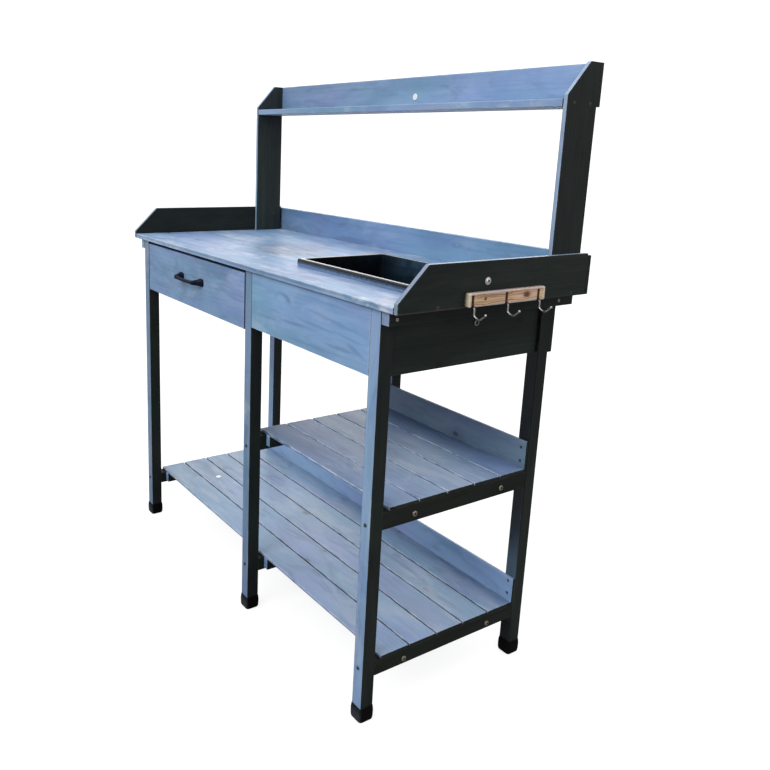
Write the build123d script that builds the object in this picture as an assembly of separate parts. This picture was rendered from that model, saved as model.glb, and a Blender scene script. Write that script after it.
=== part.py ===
from build123d import *
import os

# Potting bench: legs, worktop with side boards, raised shelf, drawer, lift-out
# sink, two slatted shelves and a small hook rail.
#
# Bench coordinates used below (mm): X = 0 at the outer face of the left legs,
# Y = 0 at the front face of the front legs (+Y to the back), Z = 0 on the floor.
# Every solid is shifted at the end so that the origin is the centre of the
# footprint of the whole bench, on the floor.

# ---------------------------------------------------------------- dimensions
LEG = 30.0                       # square leg section
LEG_X = {"left": 0.0, "middle": 598.5, "right": 1062.0}
LEG_Y = {"front": 0.0, "rear": 424.0}
LEG_FOOT_Z = 4.0                 # leg end inside its foot cap
FLOOR_Z = -3.0                   # floor, 3 mm under the datum of the heights
FRAME_LEN = LEG_X["right"] + LEG

CAP_H = 33.0                     # foot cap
CAP_WALL = 2.8
CAP_CORNER_R = 5.0
CAP_FOOT_R = 3.6
CAP_PLAY = 0.1

TOP_Z0, TOP_T = 843.0, 12.0      # worktop
TOP_Z1 = TOP_Z0 + TOP_T
TOP_X0, TOP_X1 = -42.0, 1134.0
TOP_Y0, TOP_Y1 = -9.0, 482.0
TOP_SEAM_Y = 226.0               # joint between front and rear board

CLEAT_W, CLEAT_Z0 = 22.5, 816.5  # cleats under the worktop ends
CLEAT_Y1 = 488.0

APRON_T = 12.0
APRON_Z0 = 714.0
APRON_INSET = 8.0                # side aprons sit back from the leg faces
BACK_APRON_Z0 = 712.0
DIV_X0 = 602.5                   # divider between drawer bay and sink bay

SIDE_T = 12.0                    # side boards on the worktop ends
SIDE_Z1 = 927.3
SIDE_NOSE_Z, SIDE_NOSE_Y = 862.6, 57.0
SPLASH_T, SPLASH_Z1 = 10.0, 923.0

POST_T = 11.0                    # posts of the raised shelf
POST_Y0, POST_Y1 = 386.0, 472.0
POST_Z1 = 1293.0
POST_NOSE_Z, POST_NOSE_Y = 1229.0, 444.0
USHELF_Z0, USHELF_T = 1207.0, 15.0
UBACK_T, UBACK_Z0 = 10.0, 1210.0

SLAT_T, SLAT_W, SLAT_PITCH = 6.5, 71.0, 75.0
SLAT_Y0, SLAT_Y1 = 46.0, 418.0
PANEL_T = 6.0
LOW_RAIL_Z0, LOW_RAIL_Z1 = 96.0, 128.0
LOW_BATTEN_Z0 = 101.0
LOW_PANEL_Z1 = 191.5
MID_RAIL_Z0, MID_RAIL_Z1 = 412.0, 448.5
MID_BATTEN_Z0 = 422.0
MID_PANEL_Z1 = 517.5
BATTEN_W = 17.0
BATTEN_Y0, BATTEN_Y1 = 45.0, 412.0

DRW_X0, DRW_X1 = 31.5, 595.5     # drawer front
DRW_Z0, DRW_Z1 = 703.0, 834.0
DRW_FRONT_T = 12.0
DRW_SIDE_T = 12.0
DRW_BOX_X0, DRW_BOX_X1 = 32.0, 595.0
DRW_BOX_Y1 = 372.0
DRW_BOX_Z0, DRW_BOX_Z1 = 716.0, 808.0
DRW_BOTTOM_Z0, DRW_BOTTOM_T = 721.0, 5.0
RUN_Z0, RUN_H, RUN_BITE = 760.0, 12.0, 6.0
RUN_PLAY = 0.5

HND_X, HND_Z, HND_CC = 314.0, 776.0, 116.0   # bow handle
HND_LEAN = 9.0                   # its feet lean towards each other
HND_OUT = 27.0

SINK_X0, SINK_X1 = 655.0, 1045.0  # rim of the sink
SINK_Y0, SINK_Y1 = 100.0, 352.0
SINK_RIM_Z = 871.0
SINK_RIM_W, SINK_WALL = 14.0, 2.5
SINK_FLOOR_Z = 737.0
SINK_DRAFT = 13.0                # how far each wall leans in towards the floor
SEAT_D, SEAT_GAP = 0.5, 1.0      # shallow seat round the cut-out, wider than the rim
SINK_LIFT = 0.4 - SEAT_D         # rim stands 0.4 clear of the seat
CUT_X0, CUT_X1 = 661.0, 1039.0
CUT_Y0, CUT_Y1 = 106.0, 346.0

HR_Y0, HR_Y1 = 145.0, 346.0      # hook rail on the right side board
HR_Z0, HR_Z1 = 846.0, 872.0
HR_T = 13.0
HOOK_Y = (153.5, 240.0, 326.5)
HOOK_WIRE_R = 1.8
HOOK_BALL_R = 3.0
KERF_W, KERF_D, KERF_TOP = 4.6, 5.0, 868.0

# extent of the finished bench, for the origin
SIDE_X0 = TOP_X0 - SIDE_T
SIDE_X1 = TOP_X1 + SIDE_T
HOOK_TIP_X = SIDE_X1 + HR_T + 33.0
EXT_X0, EXT_X1 = SIDE_X0, HOOK_TIP_X + HOOK_BALL_R
EXT_Y0, EXT_Y1 = -HND_OUT, TOP_Y1 + SPLASH_T
OX, OY = (EXT_X0 + EXT_X1) / 2, (EXT_Y0 + EXT_Y1) / 2

nodes = {}


def box(x0, x1, y0, y1, z0, z1):
    return Pos(x0, y0, z0) * Box(x1 - x0, y1 - y0, z1 - z0,
                                 align=(Align.MIN, Align.MIN, Align.MIN))


def slab_x(pts, x0, x1):
    """Board whose outline is drawn in Y, Z and whose thickness runs along X."""
    face = make_face(Polyline(*[(x0, y, z) for y, z in pts], close=True))
    return extrude(face, x1 - x0, dir=(1, 0, 0))


# ---------------------------------------------------------------- fasteners
# Each prototype points down -Z into the wood, with the wood's face at Z = 0.
def along(x, y, z, direction):
    turn = {"+X": Rot(0, -90, 0), "-X": Rot(0, 90, 0),
            "+Y": Rot(90, 0, 0), "-Y": Rot(-90, 0, 0), "-Z": Rot(0, 0, 0)}
    return Pos(x, y, z) * turn[direction]


def wood_screw(length):
    head = Pos(0, 0, -1.3) * Cone(1.7, 3.4, 2.6)
    rise = Pos(0, 0, 0.2) * Cone(3.4, 2.6, 0.4)      # slightly raised top of the head
    body = Pos(0, 0, -2.6 - (length - 4.6) / 2) * Cylinder(1.7, length - 4.6)
    tip = Pos(0, 0, -length + 1.0) * Cone(0.4, 1.7, 2.0)
    cross = Pos(0, 0, -0.2) * (Box(3.4, 0.8, 1.4) + Box(0.8, 3.4, 1.4))
    return head + rise + body + tip - cross


def wood_screw_hole(length):
    head = Pos(0, 0, -1.4) * Cone(1.9, 3.65, 2.8)
    return head + Pos(0, 0, -(length + 0.4) / 2) * Cylinder(1.9, length + 0.4)


def dome_bolt(head_r, head_h, shank_r, length, key):
    head = Pos(0, 0, head_h / 2) * Cylinder(head_r, head_h)
    head = fillet(head.edges().group_by(Axis.Z)[-1], head_h * 0.6)
    shank = Pos(0, 0, -length / 2) * Cylinder(shank_r, length)
    socket = Pos(0, 0, head_h - 1.6) * extrude(RegularPolygon(key, 6), 2.0)
    return head + shank - socket


def bolt_hole(shank_r, length):
    return Pos(0, 0, -(length + 0.3) / 2) * Cylinder(shank_r + 0.25, length + 0.3)


cuts = []            # (low corner, high corner, cutter) of every drilled hole
groups = {}          # fasteners collected by node name


def fasten(group, proto, hole, x, y, z, direction):
    place = along(x, y, z, direction)
    groups.setdefault(group, []).append(place * proto)
    cutter = place * hole
    bb = cutter.bounding_box()
    cuts.append((bb.min, bb.max, cutter))


def drilled(solid):
    bb = solid.bounding_box()
    for lo, hi, cutter in cuts:
        if (lo.X < bb.max.X and hi.X > bb.min.X and lo.Y < bb.max.Y
                and hi.Y > bb.min.Y and lo.Z < bb.max.Z and hi.Z > bb.min.Z):
            solid = solid - cutter
    return solid


RAIL_BOLT_L, RAIL_BOLT_LONG = 44.0, 62.0
LEG_BOLT_L = 62.0
rail_bolt = dome_bolt(6.0, 2.8, 3.0, RAIL_BOLT_L, 2.6)
rail_bolt_long = dome_bolt(6.0, 2.8, 3.0, RAIL_BOLT_LONG, 2.6)
leg_bolt = dome_bolt(3.9, 2.0, 2.5, LEG_BOLT_L, 1.6)
flange_bolt = dome_bolt(7.3, 3.0, 3.0, 10.0, 3.2)
apron_bolt = dome_bolt(6.6, 3.0, 3.0, 10.5, 2.6)
screw28, hole28 = wood_screw(28.0), wood_screw_hole(28.0)
screw20, hole20 = wood_screw(20.0), wood_screw_hole(20.0)
screw40, hole40 = wood_screw(40.0), wood_screw_hole(40.0)

rx, mx, lx = LEG_X["right"], LEG_X["middle"], LEG_X["left"]

# rails to battens
for y in (105.0, 342.0):
    fasten("rail_bolts", rail_bolt, bolt_hole(3.0, RAIL_BOLT_L), FRAME_LEN, y, 108.0, "-X")
    fasten("rail_bolts", rail_bolt, bolt_hole(3.0, RAIL_BOLT_L), 0.0, y, 108.0, "+X")
    fasten("rail_bolts", rail_bolt_long, bolt_hole(3.0, RAIL_BOLT_LONG),
           mx - BATTEN_W, y, 108.0, "+X")
for y in (109.0, 348.0):
    fasten("rail_bolts", rail_bolt, bolt_hole(3.0, RAIL_BOLT_L), FRAME_LEN, y, 428.0, "-X")
    fasten("rail_bolts", rail_bolt, bolt_hole(3.0, RAIL_BOLT_L), mx, y, 428.0, "+X")
# legs to rail ends
for key in ("left", "middle", "right"):
    for y, way in ((0.0, "+Y"), (LEG_Y["rear"] + LEG, "-Y")):
        x = LEG_X[key] + LEG / 2
        fasten("leg_bolts", leg_bolt, bolt_hole(2.5, LEG_BOLT_L), x, y, 116.0, way)
        if key != "left":
            fasten("leg_bolts", leg_bolt, bolt_hole(2.5, LEG_BOLT_L), x, y, 424.0, way)
# right side board and right apron
fasten("board_bolts", flange_bolt, bolt_hole(3.0, 10.0), SIDE_X1, 201.0, 889.5, "-X")
fasten("board_bolts", apron_bolt, bolt_hole(3.0, 10.5),
       FRAME_LEN - APRON_INSET, 244.0, 795.0, "-X")
# back panels to rear legs
for key in ("left", "middle", "right"):
    x = LEG_X[key] + LEG / 2
    for z in (151.0, 181.0):
        fasten("wood_screws", screw28, hole28, x, SLAT_Y1, z, "+Y")
    if key != "left":
        for z in (470.0, 501.0):
            fasten("wood_screws", screw28, hole28, x, SLAT_Y1, z, "+Y")
# cleats to legs
for y in (18.0, 445.0):
    fasten("wood_screws", screw40, hole40, FRAME_LEN + CLEAT_W, y, 828.0, "-X")
    fasten("wood_screws", screw40, hole40, -CLEAT_W, y, 828.0, "+X")
# side boards to worktop ends
for y in (82.0, 440.0):
    fasten("wood_screws", screw28, hole28, SIDE_X1, y, 849.0, "-X")
    fasten("wood_screws", screw28, hole28, SIDE_X0, y, 849.0, "+X")
# splash board to worktop and side boards
for x in (40.0, 293.0, 546.0, 799.0, 1052.0):
    fasten("wood_screws", screw28, hole28, x, TOP_Y1 + SPLASH_T, 849.0, "-Y")
for x in (SIDE_X0 + SIDE_T / 2, SIDE_X1 - SIDE_T / 2):
    fasten("wood_screws", screw28, hole28, x, TOP_Y1 + SPLASH_T, 895.0, "-Y")
# posts to side boards, upper shelf to posts, upper back board to posts
for y, z in ((410.0, 876.0), (450.0, 906.0)):
    fasten("wood_screws", screw20, hole20, TOP_X1 - POST_T, y, z, "+X")
    fasten("wood_screws", screw20, hole20, TOP_X0 + POST_T, y, z, "-X")
for y in (405.0, 452.0):
    fasten("wood_screws", screw28, hole28, TOP_X1, y, USHELF_Z0 + USHELF_T / 2, "-X")
    fasten("wood_screws", screw28, hole28, TOP_X0, y, USHELF_Z0 + USHELF_T / 2, "+X")
for z in (1232.0, 1272.0):
    for x in (TOP_X0 + POST_T / 2, TOP_X1 - POST_T / 2):
        fasten("wood_screws", screw28, hole28, x, POST_Y1 + UBACK_T, z, "-Y")
# hook rail
for y in (185.0, 294.5):
    fasten("wood_screws", screw20, hole20, SIDE_X1 + HR_T, y, 860.5, "-X")

# ---------------------------------------------------------------- frame
for side, x in LEG_X.items():
    for row, y in LEG_Y.items():
        nodes[f"leg_{row}_{side}"] = box(x, x + LEG, y, y + LEG, FLOOR_Z + LEG_FOOT_Z, TOP_Z0)


def foot_cap():
    # bellied cap: snug lip at the top, full width in the middle, well rounded at the floor
    wide = LEG + 2 * CAP_WALL
    body = extrude(RectangleRounded(wide, wide, CAP_CORNER_R), CAP_H)
    body = fillet(body.edges().group_by(Axis.Z)[0], CAP_FOOT_R)
    body = chamfer(body.edges().group_by(Axis.Z)[-1], 4.0, 1.6)
    pocket = Pos(0, 0, LEG_FOOT_Z) * Box(LEG + 2 * CAP_PLAY, LEG + 2 * CAP_PLAY, CAP_H,
                                         align=(Align.CENTER, Align.CENTER, Align.MIN))
    return body - pocket


cap = foot_cap()
nodes["foot_caps"] = [Pos(x + LEG / 2, y + LEG / 2, FLOOR_Z) * cap
                      for x in LEG_X.values() for y in LEG_Y.values()]

# worktop in two boards, cut out and seated together for the sink
sink_cut = Pos((CUT_X0 + CUT_X1) / 2, (CUT_Y0 + CUT_Y1) / 2, TOP_Z0 - 1) * extrude(
    RectangleRounded(CUT_X1 - CUT_X0, CUT_Y1 - CUT_Y0, 8.0), TOP_T + 2)
sink_cut += Pos((SINK_X0 + SINK_X1) / 2, (SINK_Y0 + SINK_Y1) / 2, TOP_Z1 - SEAT_D) * extrude(
    RectangleRounded(SINK_X1 - SINK_X0 + 2 * SEAT_GAP, SINK_Y1 - SINK_Y0 + 2 * SEAT_GAP, 6.0), SEAT_D + 1)
nodes["worktop_front_board"] = box(TOP_X0, TOP_X1, TOP_Y0, TOP_SEAM_Y, TOP_Z0, TOP_Z1) - sink_cut
nodes["worktop_rear_board"] = box(TOP_X0, TOP_X1, TOP_SEAM_Y, TOP_Y1, TOP_Z0, TOP_Z1) - sink_cut
nodes["worktop_cleat_left"] = box(-CLEAT_W, 0, 0, CLEAT_Y1, CLEAT_Z0, TOP_Z0)
nodes["worktop_cleat_right"] = box(FRAME_LEN, FRAME_LEN + CLEAT_W, 0, CLEAT_Y1, CLEAT_Z0, TOP_Z0)

a0, a1 = LEG, LEG_Y["rear"]
nodes["apron_left"] = box(APRON_INSET, APRON_INSET + APRON_T, a0, a1, APRON_Z0, TOP_Z0)
nodes["apron_right"] = box(FRAME_LEN - APRON_INSET - APRON_T, FRAME_LEN - APRON_INSET,
                           a0, a1, APRON_Z0, TOP_Z0)
nodes["apron_back"] = box(0, FRAME_LEN, a1 + LEG, a1 + LEG + APRON_T, BACK_APRON_Z0, TOP_Z0)
nodes["apron_front"] = box(mx + LEG, rx, 0, APRON_T, APRON_Z0, TOP_Z0)
nodes["drawer_divider"] = box(DIV_X0, DIV_X0 + APRON_T, a0, a1, APRON_Z0, TOP_Z0)
nodes["drawer_runner_left"] = box(APRON_INSET + APRON_T, DRW_BOX_X0 + RUN_BITE, a0, a1,
                                  RUN_Z0, RUN_Z0 + RUN_H)
nodes["drawer_runner_right"] = box(DRW_BOX_X1 - RUN_BITE, DIV_X0, a0, a1,
                                   RUN_Z0, RUN_Z0 + RUN_H)

# ---------------------------------------------------------------- top boards
side_outline = [(TOP_Y0, TOP_Z0), (TOP_Y1, TOP_Z0), (TOP_Y1, SIDE_Z1),
                (SIDE_NOSE_Y, SIDE_Z1), (TOP_Y0, SIDE_NOSE_Z)]
nodes["side_board_left"] = slab_x(side_outline, SIDE_X0, TOP_X0)
nodes["side_board_right"] = slab_x(side_outline, TOP_X1, SIDE_X1)
nodes["splash_board"] = box(SIDE_X0, SIDE_X1, TOP_Y1, TOP_Y1 + SPLASH_T, TOP_Z0, SPLASH_Z1)

post_outline = [(POST_Y0, TOP_Z1), (POST_Y1, TOP_Z1), (POST_Y1, POST_Z1),
                (POST_NOSE_Y, POST_Z1), (POST_Y0, POST_NOSE_Z)]
nodes["shelf_post_left"] = slab_x(post_outline, TOP_X0, TOP_X0 + POST_T)
nodes["shelf_post_right"] = slab_x(post_outline, TOP_X1 - POST_T, TOP_X1)
nodes["upper_shelf"] = box(TOP_X0 + POST_T, TOP_X1 - POST_T, POST_Y0, POST_Y1,
                           USHELF_Z0, USHELF_Z0 + USHELF_T)
nodes["upper_back_board"] = box(TOP_X0, TOP_X1, POST_Y1, POST_Y1 + UBACK_T, UBACK_Z0, POST_Z1)

# ---------------------------------------------------------------- slatted shelves
slats = [(SLAT_Y0 + i * SLAT_PITCH, SLAT_Y1 if i == 4 else SLAT_Y0 + i * SLAT_PITCH + SLAT_W)
         for i in range(5)]
for i, (y0, y1) in enumerate(slats, 1):
    nodes[f"low_slat_{i}"] = box(0, FRAME_LEN, y0, y1, LOW_RAIL_Z1, LOW_RAIL_Z1 + SLAT_T)
    nodes[f"mid_slat_{i}"] = box(mx, FRAME_LEN, y0, y1, MID_RAIL_Z1, MID_RAIL_Z1 + SLAT_T)
for side, x in LEG_X.items():
    nodes[f"low_rail_{side}"] = box(x, x + LEG, a0, a1, LOW_RAIL_Z0, LOW_RAIL_Z1)
    if side != "left":
        nodes[f"mid_rail_{side}"] = box(x, x + LEG, a0, a1, MID_RAIL_Z0, MID_RAIL_Z1)
nodes["low_battens"] = [box(x, x + BATTEN_W, BATTEN_Y0, BATTEN_Y1, LOW_BATTEN_Z0, LOW_RAIL_Z1)
                        for x in (LEG, mx - BATTEN_W, mx + LEG, rx - BATTEN_W)]
nodes["mid_battens"] = [box(x, x + BATTEN_W, BATTEN_Y0, BATTEN_Y1, MID_BATTEN_Z0, MID_RAIL_Z1)
                        for x in (mx + LEG, rx - BATTEN_W)]
nodes["low_back_panel"] = box(0, FRAME_LEN, SLAT_Y1, SLAT_Y1 + PANEL_T, LOW_RAIL_Z1, LOW_PANEL_Z1)
nodes["mid_back_panel"] = box(mx, FRAME_LEN, SLAT_Y1, SLAT_Y1 + PANEL_T, MID_RAIL_Z1, MID_PANEL_Z1)

# ---------------------------------------------------------------- hook rail
rail = box(SIDE_X1, SIDE_X1 + HR_T, HR_Y0, HR_Y1, HR_Z0, HR_Z1)
rail = fillet(rail.edges().filter_by(Axis.Y).group_by(Axis.X)[-1], 2.0)
wire_x = SIDE_X1 + HR_T - KERF_D + 0.3 + HOOK_WIRE_R
peg_z = 864.0
for y in HOOK_Y:
    rail = rail - box(SIDE_X1 + HR_T - KERF_D, SIDE_X1 + HR_T + 1, y - KERF_W / 2, y + KERF_W / 2,
                      HR_Z0 - 1, KERF_TOP)
    rail = rail - box(SIDE_X1 + HR_T - KERF_D - 4.0, SIDE_X1 + HR_T, y - KERF_W / 2, y + KERF_W / 2,
                      857.0, KERF_TOP)
    rail = rail - Pos(SIDE_X1 + 5.0, y, peg_z) * Rot(0, 90, 0) * Cylinder(HOOK_WIRE_R + 0.3, 8.0)
nodes["hook_rail"] = rail


def hook(y):
    # from its peg hole the wire drops in the kerf, is cranked clear of the rail and ends in a J
    out_x = SIDE_X1 + HR_T + 5.0
    path = FilletPolyline((SIDE_X1 + 1.5, y, peg_z), (wire_x - 1.3, y, peg_z),
                          (wire_x + 0.5, y, 854.5), (out_x, y, 845.0), (out_x, y, 831.5),
                          (out_x + 13.0, y, 825.5), (HOOK_TIP_X, y, 838.0),
                          radius=[3.6, 8.0, 8.0, 5.0, 10.0])
    section = Plane(origin=path @ 0, z_dir=path % 0) * Circle(HOOK_WIRE_R)
    return sweep(section, path) + Pos(HOOK_TIP_X, y, 838.0) * Sphere(HOOK_BALL_R)


nodes["hooks"] = [hook(y) for y in HOOK_Y]

# plain cover caps: low domes on the upper back board and on a lower slat
button = Pos(0, 0, 1.0) * Cylinder(8.0, 2.0)
button = fillet(button.edges().group_by(Axis.Z)[-1], 1.4)
nodes["cover_caps"] = [along(598.0, POST_Y1, 1245.0, "+Y") * button,
                       Pos(156.0, 161.0, LOW_RAIL_Z1 + SLAT_T) * button]

# ---------------------------------------------------------------- drawer
bench_cuts, cuts = cuts, []
handle_bolt_l = DRW_FRONT_T + 9.0
handle_screw = dome_bolt(4.0, 2.2, 2.0, handle_bolt_l, 1.5)
for x in (HND_X - HND_CC / 2, HND_X + HND_CC / 2):
    fasten("handle_screws", handle_screw, bolt_hole(2.0, handle_bolt_l), x, DRW_FRONT_T, HND_Z, "-Y")
for z in (742.0, 794.0):
    fasten("drawer_screws", screw28, hole28, DRW_BOX_X0, DRW_BOX_Y1 - 6.0, z, "+X")
    fasten("drawer_screws", screw28, hole28, DRW_BOX_X1, DRW_BOX_Y1 - 6.0, z, "-X")

drawer = {}
drawer["drawer_front"] = box(DRW_X0, DRW_X1, 0, DRW_FRONT_T, DRW_Z0, DRW_Z1)
in_x0, in_x1 = DRW_BOX_X0 + DRW_SIDE_T, DRW_BOX_X1 - DRW_SIDE_T
floor_bite = 4.0


def drawer_side(x0, x1, outer, inner):
    side = box(x0, x1, DRW_FRONT_T, DRW_BOX_Y1, DRW_BOX_Z0, DRW_BOX_Z1)
    side = side - box(*outer, DRW_FRONT_T - 1, DRW_BOX_Y1 + 1, RUN_Z0 - RUN_PLAY,
                      RUN_Z0 + RUN_H + RUN_PLAY)
    return side - box(*inner, DRW_FRONT_T - 1, DRW_BOX_Y1 + 1, DRW_BOTTOM_Z0,
                      DRW_BOTTOM_Z0 + DRW_BOTTOM_T)


drawer["drawer_side_left"] = drawer_side(
    DRW_BOX_X0, in_x0, (DRW_BOX_X0 - 1, DRW_BOX_X0 + RUN_BITE + 1.0), (in_x0 - floor_bite, in_x0 + 1))
drawer["drawer_side_right"] = drawer_side(
    in_x1, DRW_BOX_X1, (DRW_BOX_X1 - RUN_BITE - 1.0, DRW_BOX_X1 + 1), (in_x1 - 1, in_x1 + floor_bite))
drawer["drawer_bottom"] = box(in_x0 - floor_bite, in_x1 + floor_bite, DRW_FRONT_T, DRW_BOX_Y1,
                              DRW_BOTTOM_Z0, DRW_BOTTOM_Z0 + DRW_BOTTOM_T)
drawer["drawer_back"] = box(in_x0, in_x1, DRW_BOX_Y1 - 12.0, DRW_BOX_Y1,
                            DRW_BOTTOM_Z0 + DRW_BOTTOM_T, DRW_BOX_Z1)


def bow_handle():
    h = None
    bar_y = -HND_OUT + 5.0
    for s in (-1, 1):
        x = HND_X + s * HND_CC / 2
        pad = Pos(x, 0, HND_Z) * Rot(90, 0, 0) * extrude(RectangleRounded(24.0, 20.0, 5.0), 7.0)
        neck = Pos(x, -7.0, HND_Z) * Rot(90, 0, 0) * loft(
            [RectangleRounded(20.0, 16.0, 4.5),
             Pos(-s * HND_LEAN, 0, HND_OUT - 7.0) * RectangleRounded(15.0, 11.0, 4.0)])
        h = pad + neck if h is None else h + pad + neck
    bar = Pos(HND_X, bar_y, HND_Z) * Rot(0, 90, 0) * Cylinder(4.6, HND_CC - 2 * HND_LEAN + 4.0)
    return h + bar


drawer["drawer_handle"] = bow_handle()
for name in list(drawer):
    drawer[name] = drilled(drawer[name])
cuts = bench_cuts

# ---------------------------------------------------------------- sink
def sink_ring(inset, z, r):
    return Pos((SINK_X0 + SINK_X1) / 2, (SINK_Y0 + SINK_Y1) / 2, z) * RectangleRounded(
        SINK_X1 - SINK_X0 - 2 * inset, SINK_Y1 - SINK_Y0 - 2 * inset, r)


rim_in = SINK_RIM_W
shell = loft([sink_ring(rim_in - SINK_WALL + SINK_DRAFT, SINK_FLOOR_Z - SINK_WALL, 18.0),
              sink_ring(rim_in - SINK_WALL, SINK_RIM_Z - 0.5, 8.0)])
rim = extrude(sink_ring(0, TOP_Z1 + SINK_LIFT, 5.0), SINK_RIM_Z - TOP_Z1 - SINK_LIFT)
under = extrude(sink_ring(SINK_WALL, TOP_Z1 - 1, 3.5), SINK_RIM_Z - SINK_WALL - TOP_Z1 + 1)
hollow = loft([sink_ring(rim_in + SINK_DRAFT, SINK_FLOOR_Z, 16.0),
               sink_ring(rim_in, SINK_RIM_Z + 0.5, 6.0)])
sink = (rim - under) + shell - hollow

# ---------------------------------------------------------------- export
for name in list(nodes):
    got = nodes[name]
    nodes[name] = [drilled(s) for s in got] if isinstance(got, list) else drilled(got)
nodes.update(drawer)
nodes.update(groups)
nodes["sink_basin"] = sink

os.makedirs("parts", exist_ok=True)
for old in os.listdir("parts"):
    if old.endswith(".step") and old[:-5] not in nodes:
        os.remove(os.path.join("parts", old))
shift = Pos(-OX, -OY, -FLOOR_Z)
for name, got in nodes.items():
    if isinstance(got, list):
        out = Compound(children=[s for g in got for s in (shift * g).solids()])
    else:
        out = shift * got
        solids = out.solids()
        out = solids[0] if len(solids) == 1 else Compound(children=list(solids))
    out.label = name
    export_step(out, os.path.join("parts", name + ".step"))
print(len(nodes), "nodes, origin at bench", OX, OY)
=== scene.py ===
import math
import random

import bmesh
import bpy
import numpy as np
from mathutils import Matrix, Vector, noise


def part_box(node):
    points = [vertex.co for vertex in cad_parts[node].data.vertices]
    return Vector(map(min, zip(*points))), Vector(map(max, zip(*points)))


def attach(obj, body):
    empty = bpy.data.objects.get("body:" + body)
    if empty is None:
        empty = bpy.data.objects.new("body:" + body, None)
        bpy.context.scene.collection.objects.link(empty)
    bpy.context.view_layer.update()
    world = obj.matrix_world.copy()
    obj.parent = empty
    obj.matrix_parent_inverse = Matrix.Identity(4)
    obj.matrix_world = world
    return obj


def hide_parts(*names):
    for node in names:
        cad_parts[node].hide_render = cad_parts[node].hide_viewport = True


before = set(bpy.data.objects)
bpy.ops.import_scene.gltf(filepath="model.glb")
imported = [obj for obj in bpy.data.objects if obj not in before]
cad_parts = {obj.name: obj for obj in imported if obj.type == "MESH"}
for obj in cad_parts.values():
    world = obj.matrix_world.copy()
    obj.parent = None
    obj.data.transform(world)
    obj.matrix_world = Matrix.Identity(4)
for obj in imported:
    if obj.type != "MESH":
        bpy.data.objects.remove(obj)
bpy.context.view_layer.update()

OX, OY, OZ = 570.5, 232.5, -3.0      # bench millimetres of the model origin


def M(x, y, z):
    """Bench millimetres to model metres."""
    return Vector(((x - OX) / 1000, (y - OY) / 1000, (z - OZ) / 1000))


# ------------------------------------------------------------------ shading kit
class Shader:
    def __init__(self, name):
        self.mat = bpy.data.materials.new(name)
        self.mat.use_nodes = True
        self.tree = self.mat.node_tree
        self.tree.nodes.clear()
        self.out = self.new("ShaderNodeOutputMaterial")
        self.bsdf = self.new("ShaderNodeBsdfPrincipled")
        self.tree.links.new(self.bsdf.outputs[0], self.out.inputs[0])

    def new(self, kind, **props):
        n = self.tree.nodes.new(kind)
        for k, v in props.items():
            setattr(n, k, v)
        return n

    def feed(self, socket, value):
        if value is None:
            return
        if isinstance(value, bpy.types.NodeSocket):
            self.tree.links.new(value, socket)
        elif socket.type == "RGBA":
            socket.default_value = (*value[:3], 1.0)
        else:
            socket.default_value = value

    def set(self, **values):
        for k, v in values.items():
            self.feed(self.bsdf.inputs[k.replace("_", " ")], v)

    def math(self, op, a, b=None, c=None, clamp=False):
        n = self.new("ShaderNodeMath", operation=op, use_clamp=clamp)
        for s, v in zip(n.inputs, (a, b, c)):
            self.feed(s, v)
        return n.outputs[0]

    def add(self, a, b):
        return self.math("ADD", a, b)

    def sub(self, a, b):
        return self.math("SUBTRACT", a, b)

    def mul(self, a, b, clamp=False):
        return self.math("MULTIPLY", a, b, clamp=clamp)

    def vec(self, x, y, z=0.0):
        n = self.new("ShaderNodeCombineXYZ")
        for s, v in zip(n.inputs, (x, y, z)):
            self.feed(s, v)
        return n.outputs[0]

    def split(self, v):
        n = self.new("ShaderNodeSeparateXYZ")
        self.feed(n.inputs[0], v)
        return n.outputs

    def vmath(self, op, a, b=None):
        n = self.new("ShaderNodeVectorMath", operation=op)
        self.feed(n.inputs[0], a)
        if b is not None:
            self.feed(n.inputs[1], b)
        return n.outputs["Value"] if op in ("LENGTH", "DISTANCE") else n.outputs["Vector"]

    def scaled(self, parts, sx, sy, sz, shift=0.0):
        """Coordinates stretched along the grain, moved by shift so that no two textures line up."""
        return self.vec(self.math("MULTIPLY_ADD", parts[0], sx, shift),
                        self.math("MULTIPLY_ADD", parts[1], sy, shift * 0.7),
                        self.math("MULTIPLY_ADD", parts[2], sz, shift * 1.3))

    def noise(self, v, scale=1.0, detail=3.0, rough=0.5, distort=0.0):
        n = self.new("ShaderNodeTexNoise", noise_dimensions="3D")
        self.feed(n.inputs["Vector"], v)
        for k, x in (("Scale", scale), ("Detail", detail), ("Roughness", rough), ("Distortion", distort)):
            n.inputs[k].default_value = x
        return n.outputs[0]

    def remap(self, x, a, b, c=0.0, d=1.0, kind="SMOOTHSTEP"):
        n = self.new("ShaderNodeMapRange", interpolation_type=kind)
        if kind == "LINEAR":
            n.clamp = True
        for k, v in (("Value", x), ("From Min", a), ("From Max", b), ("To Min", c), ("To Max", d)):
            self.feed(n.inputs[k], v)
        return n.outputs[0]

    def mix(self, f, a, b, blend="MIX"):
        n = self.new("ShaderNodeMix", data_type="RGBA", blend_type=blend)
        self.feed(n.inputs[0], f)
        self.feed(n.inputs[6], a)
        self.feed(n.inputs[7], b)
        return n.outputs[2]

    def attr(self, name, out="Vector"):
        return self.new("ShaderNodeAttribute", attribute_type="GEOMETRY", attribute_name=name).outputs[out]

    def place(self):
        return self.new("ShaderNodeTexCoord").outputs["Object"]

    def bump(self, height, strength, distance):
        n = self.new("ShaderNodeBump")
        self.feed(n.inputs["Height"], height)
        n.inputs["Strength"].default_value = strength
        n.inputs["Distance"].default_value = distance
        self.feed(self.bsdf.inputs["Normal"], n.outputs[0])


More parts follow.
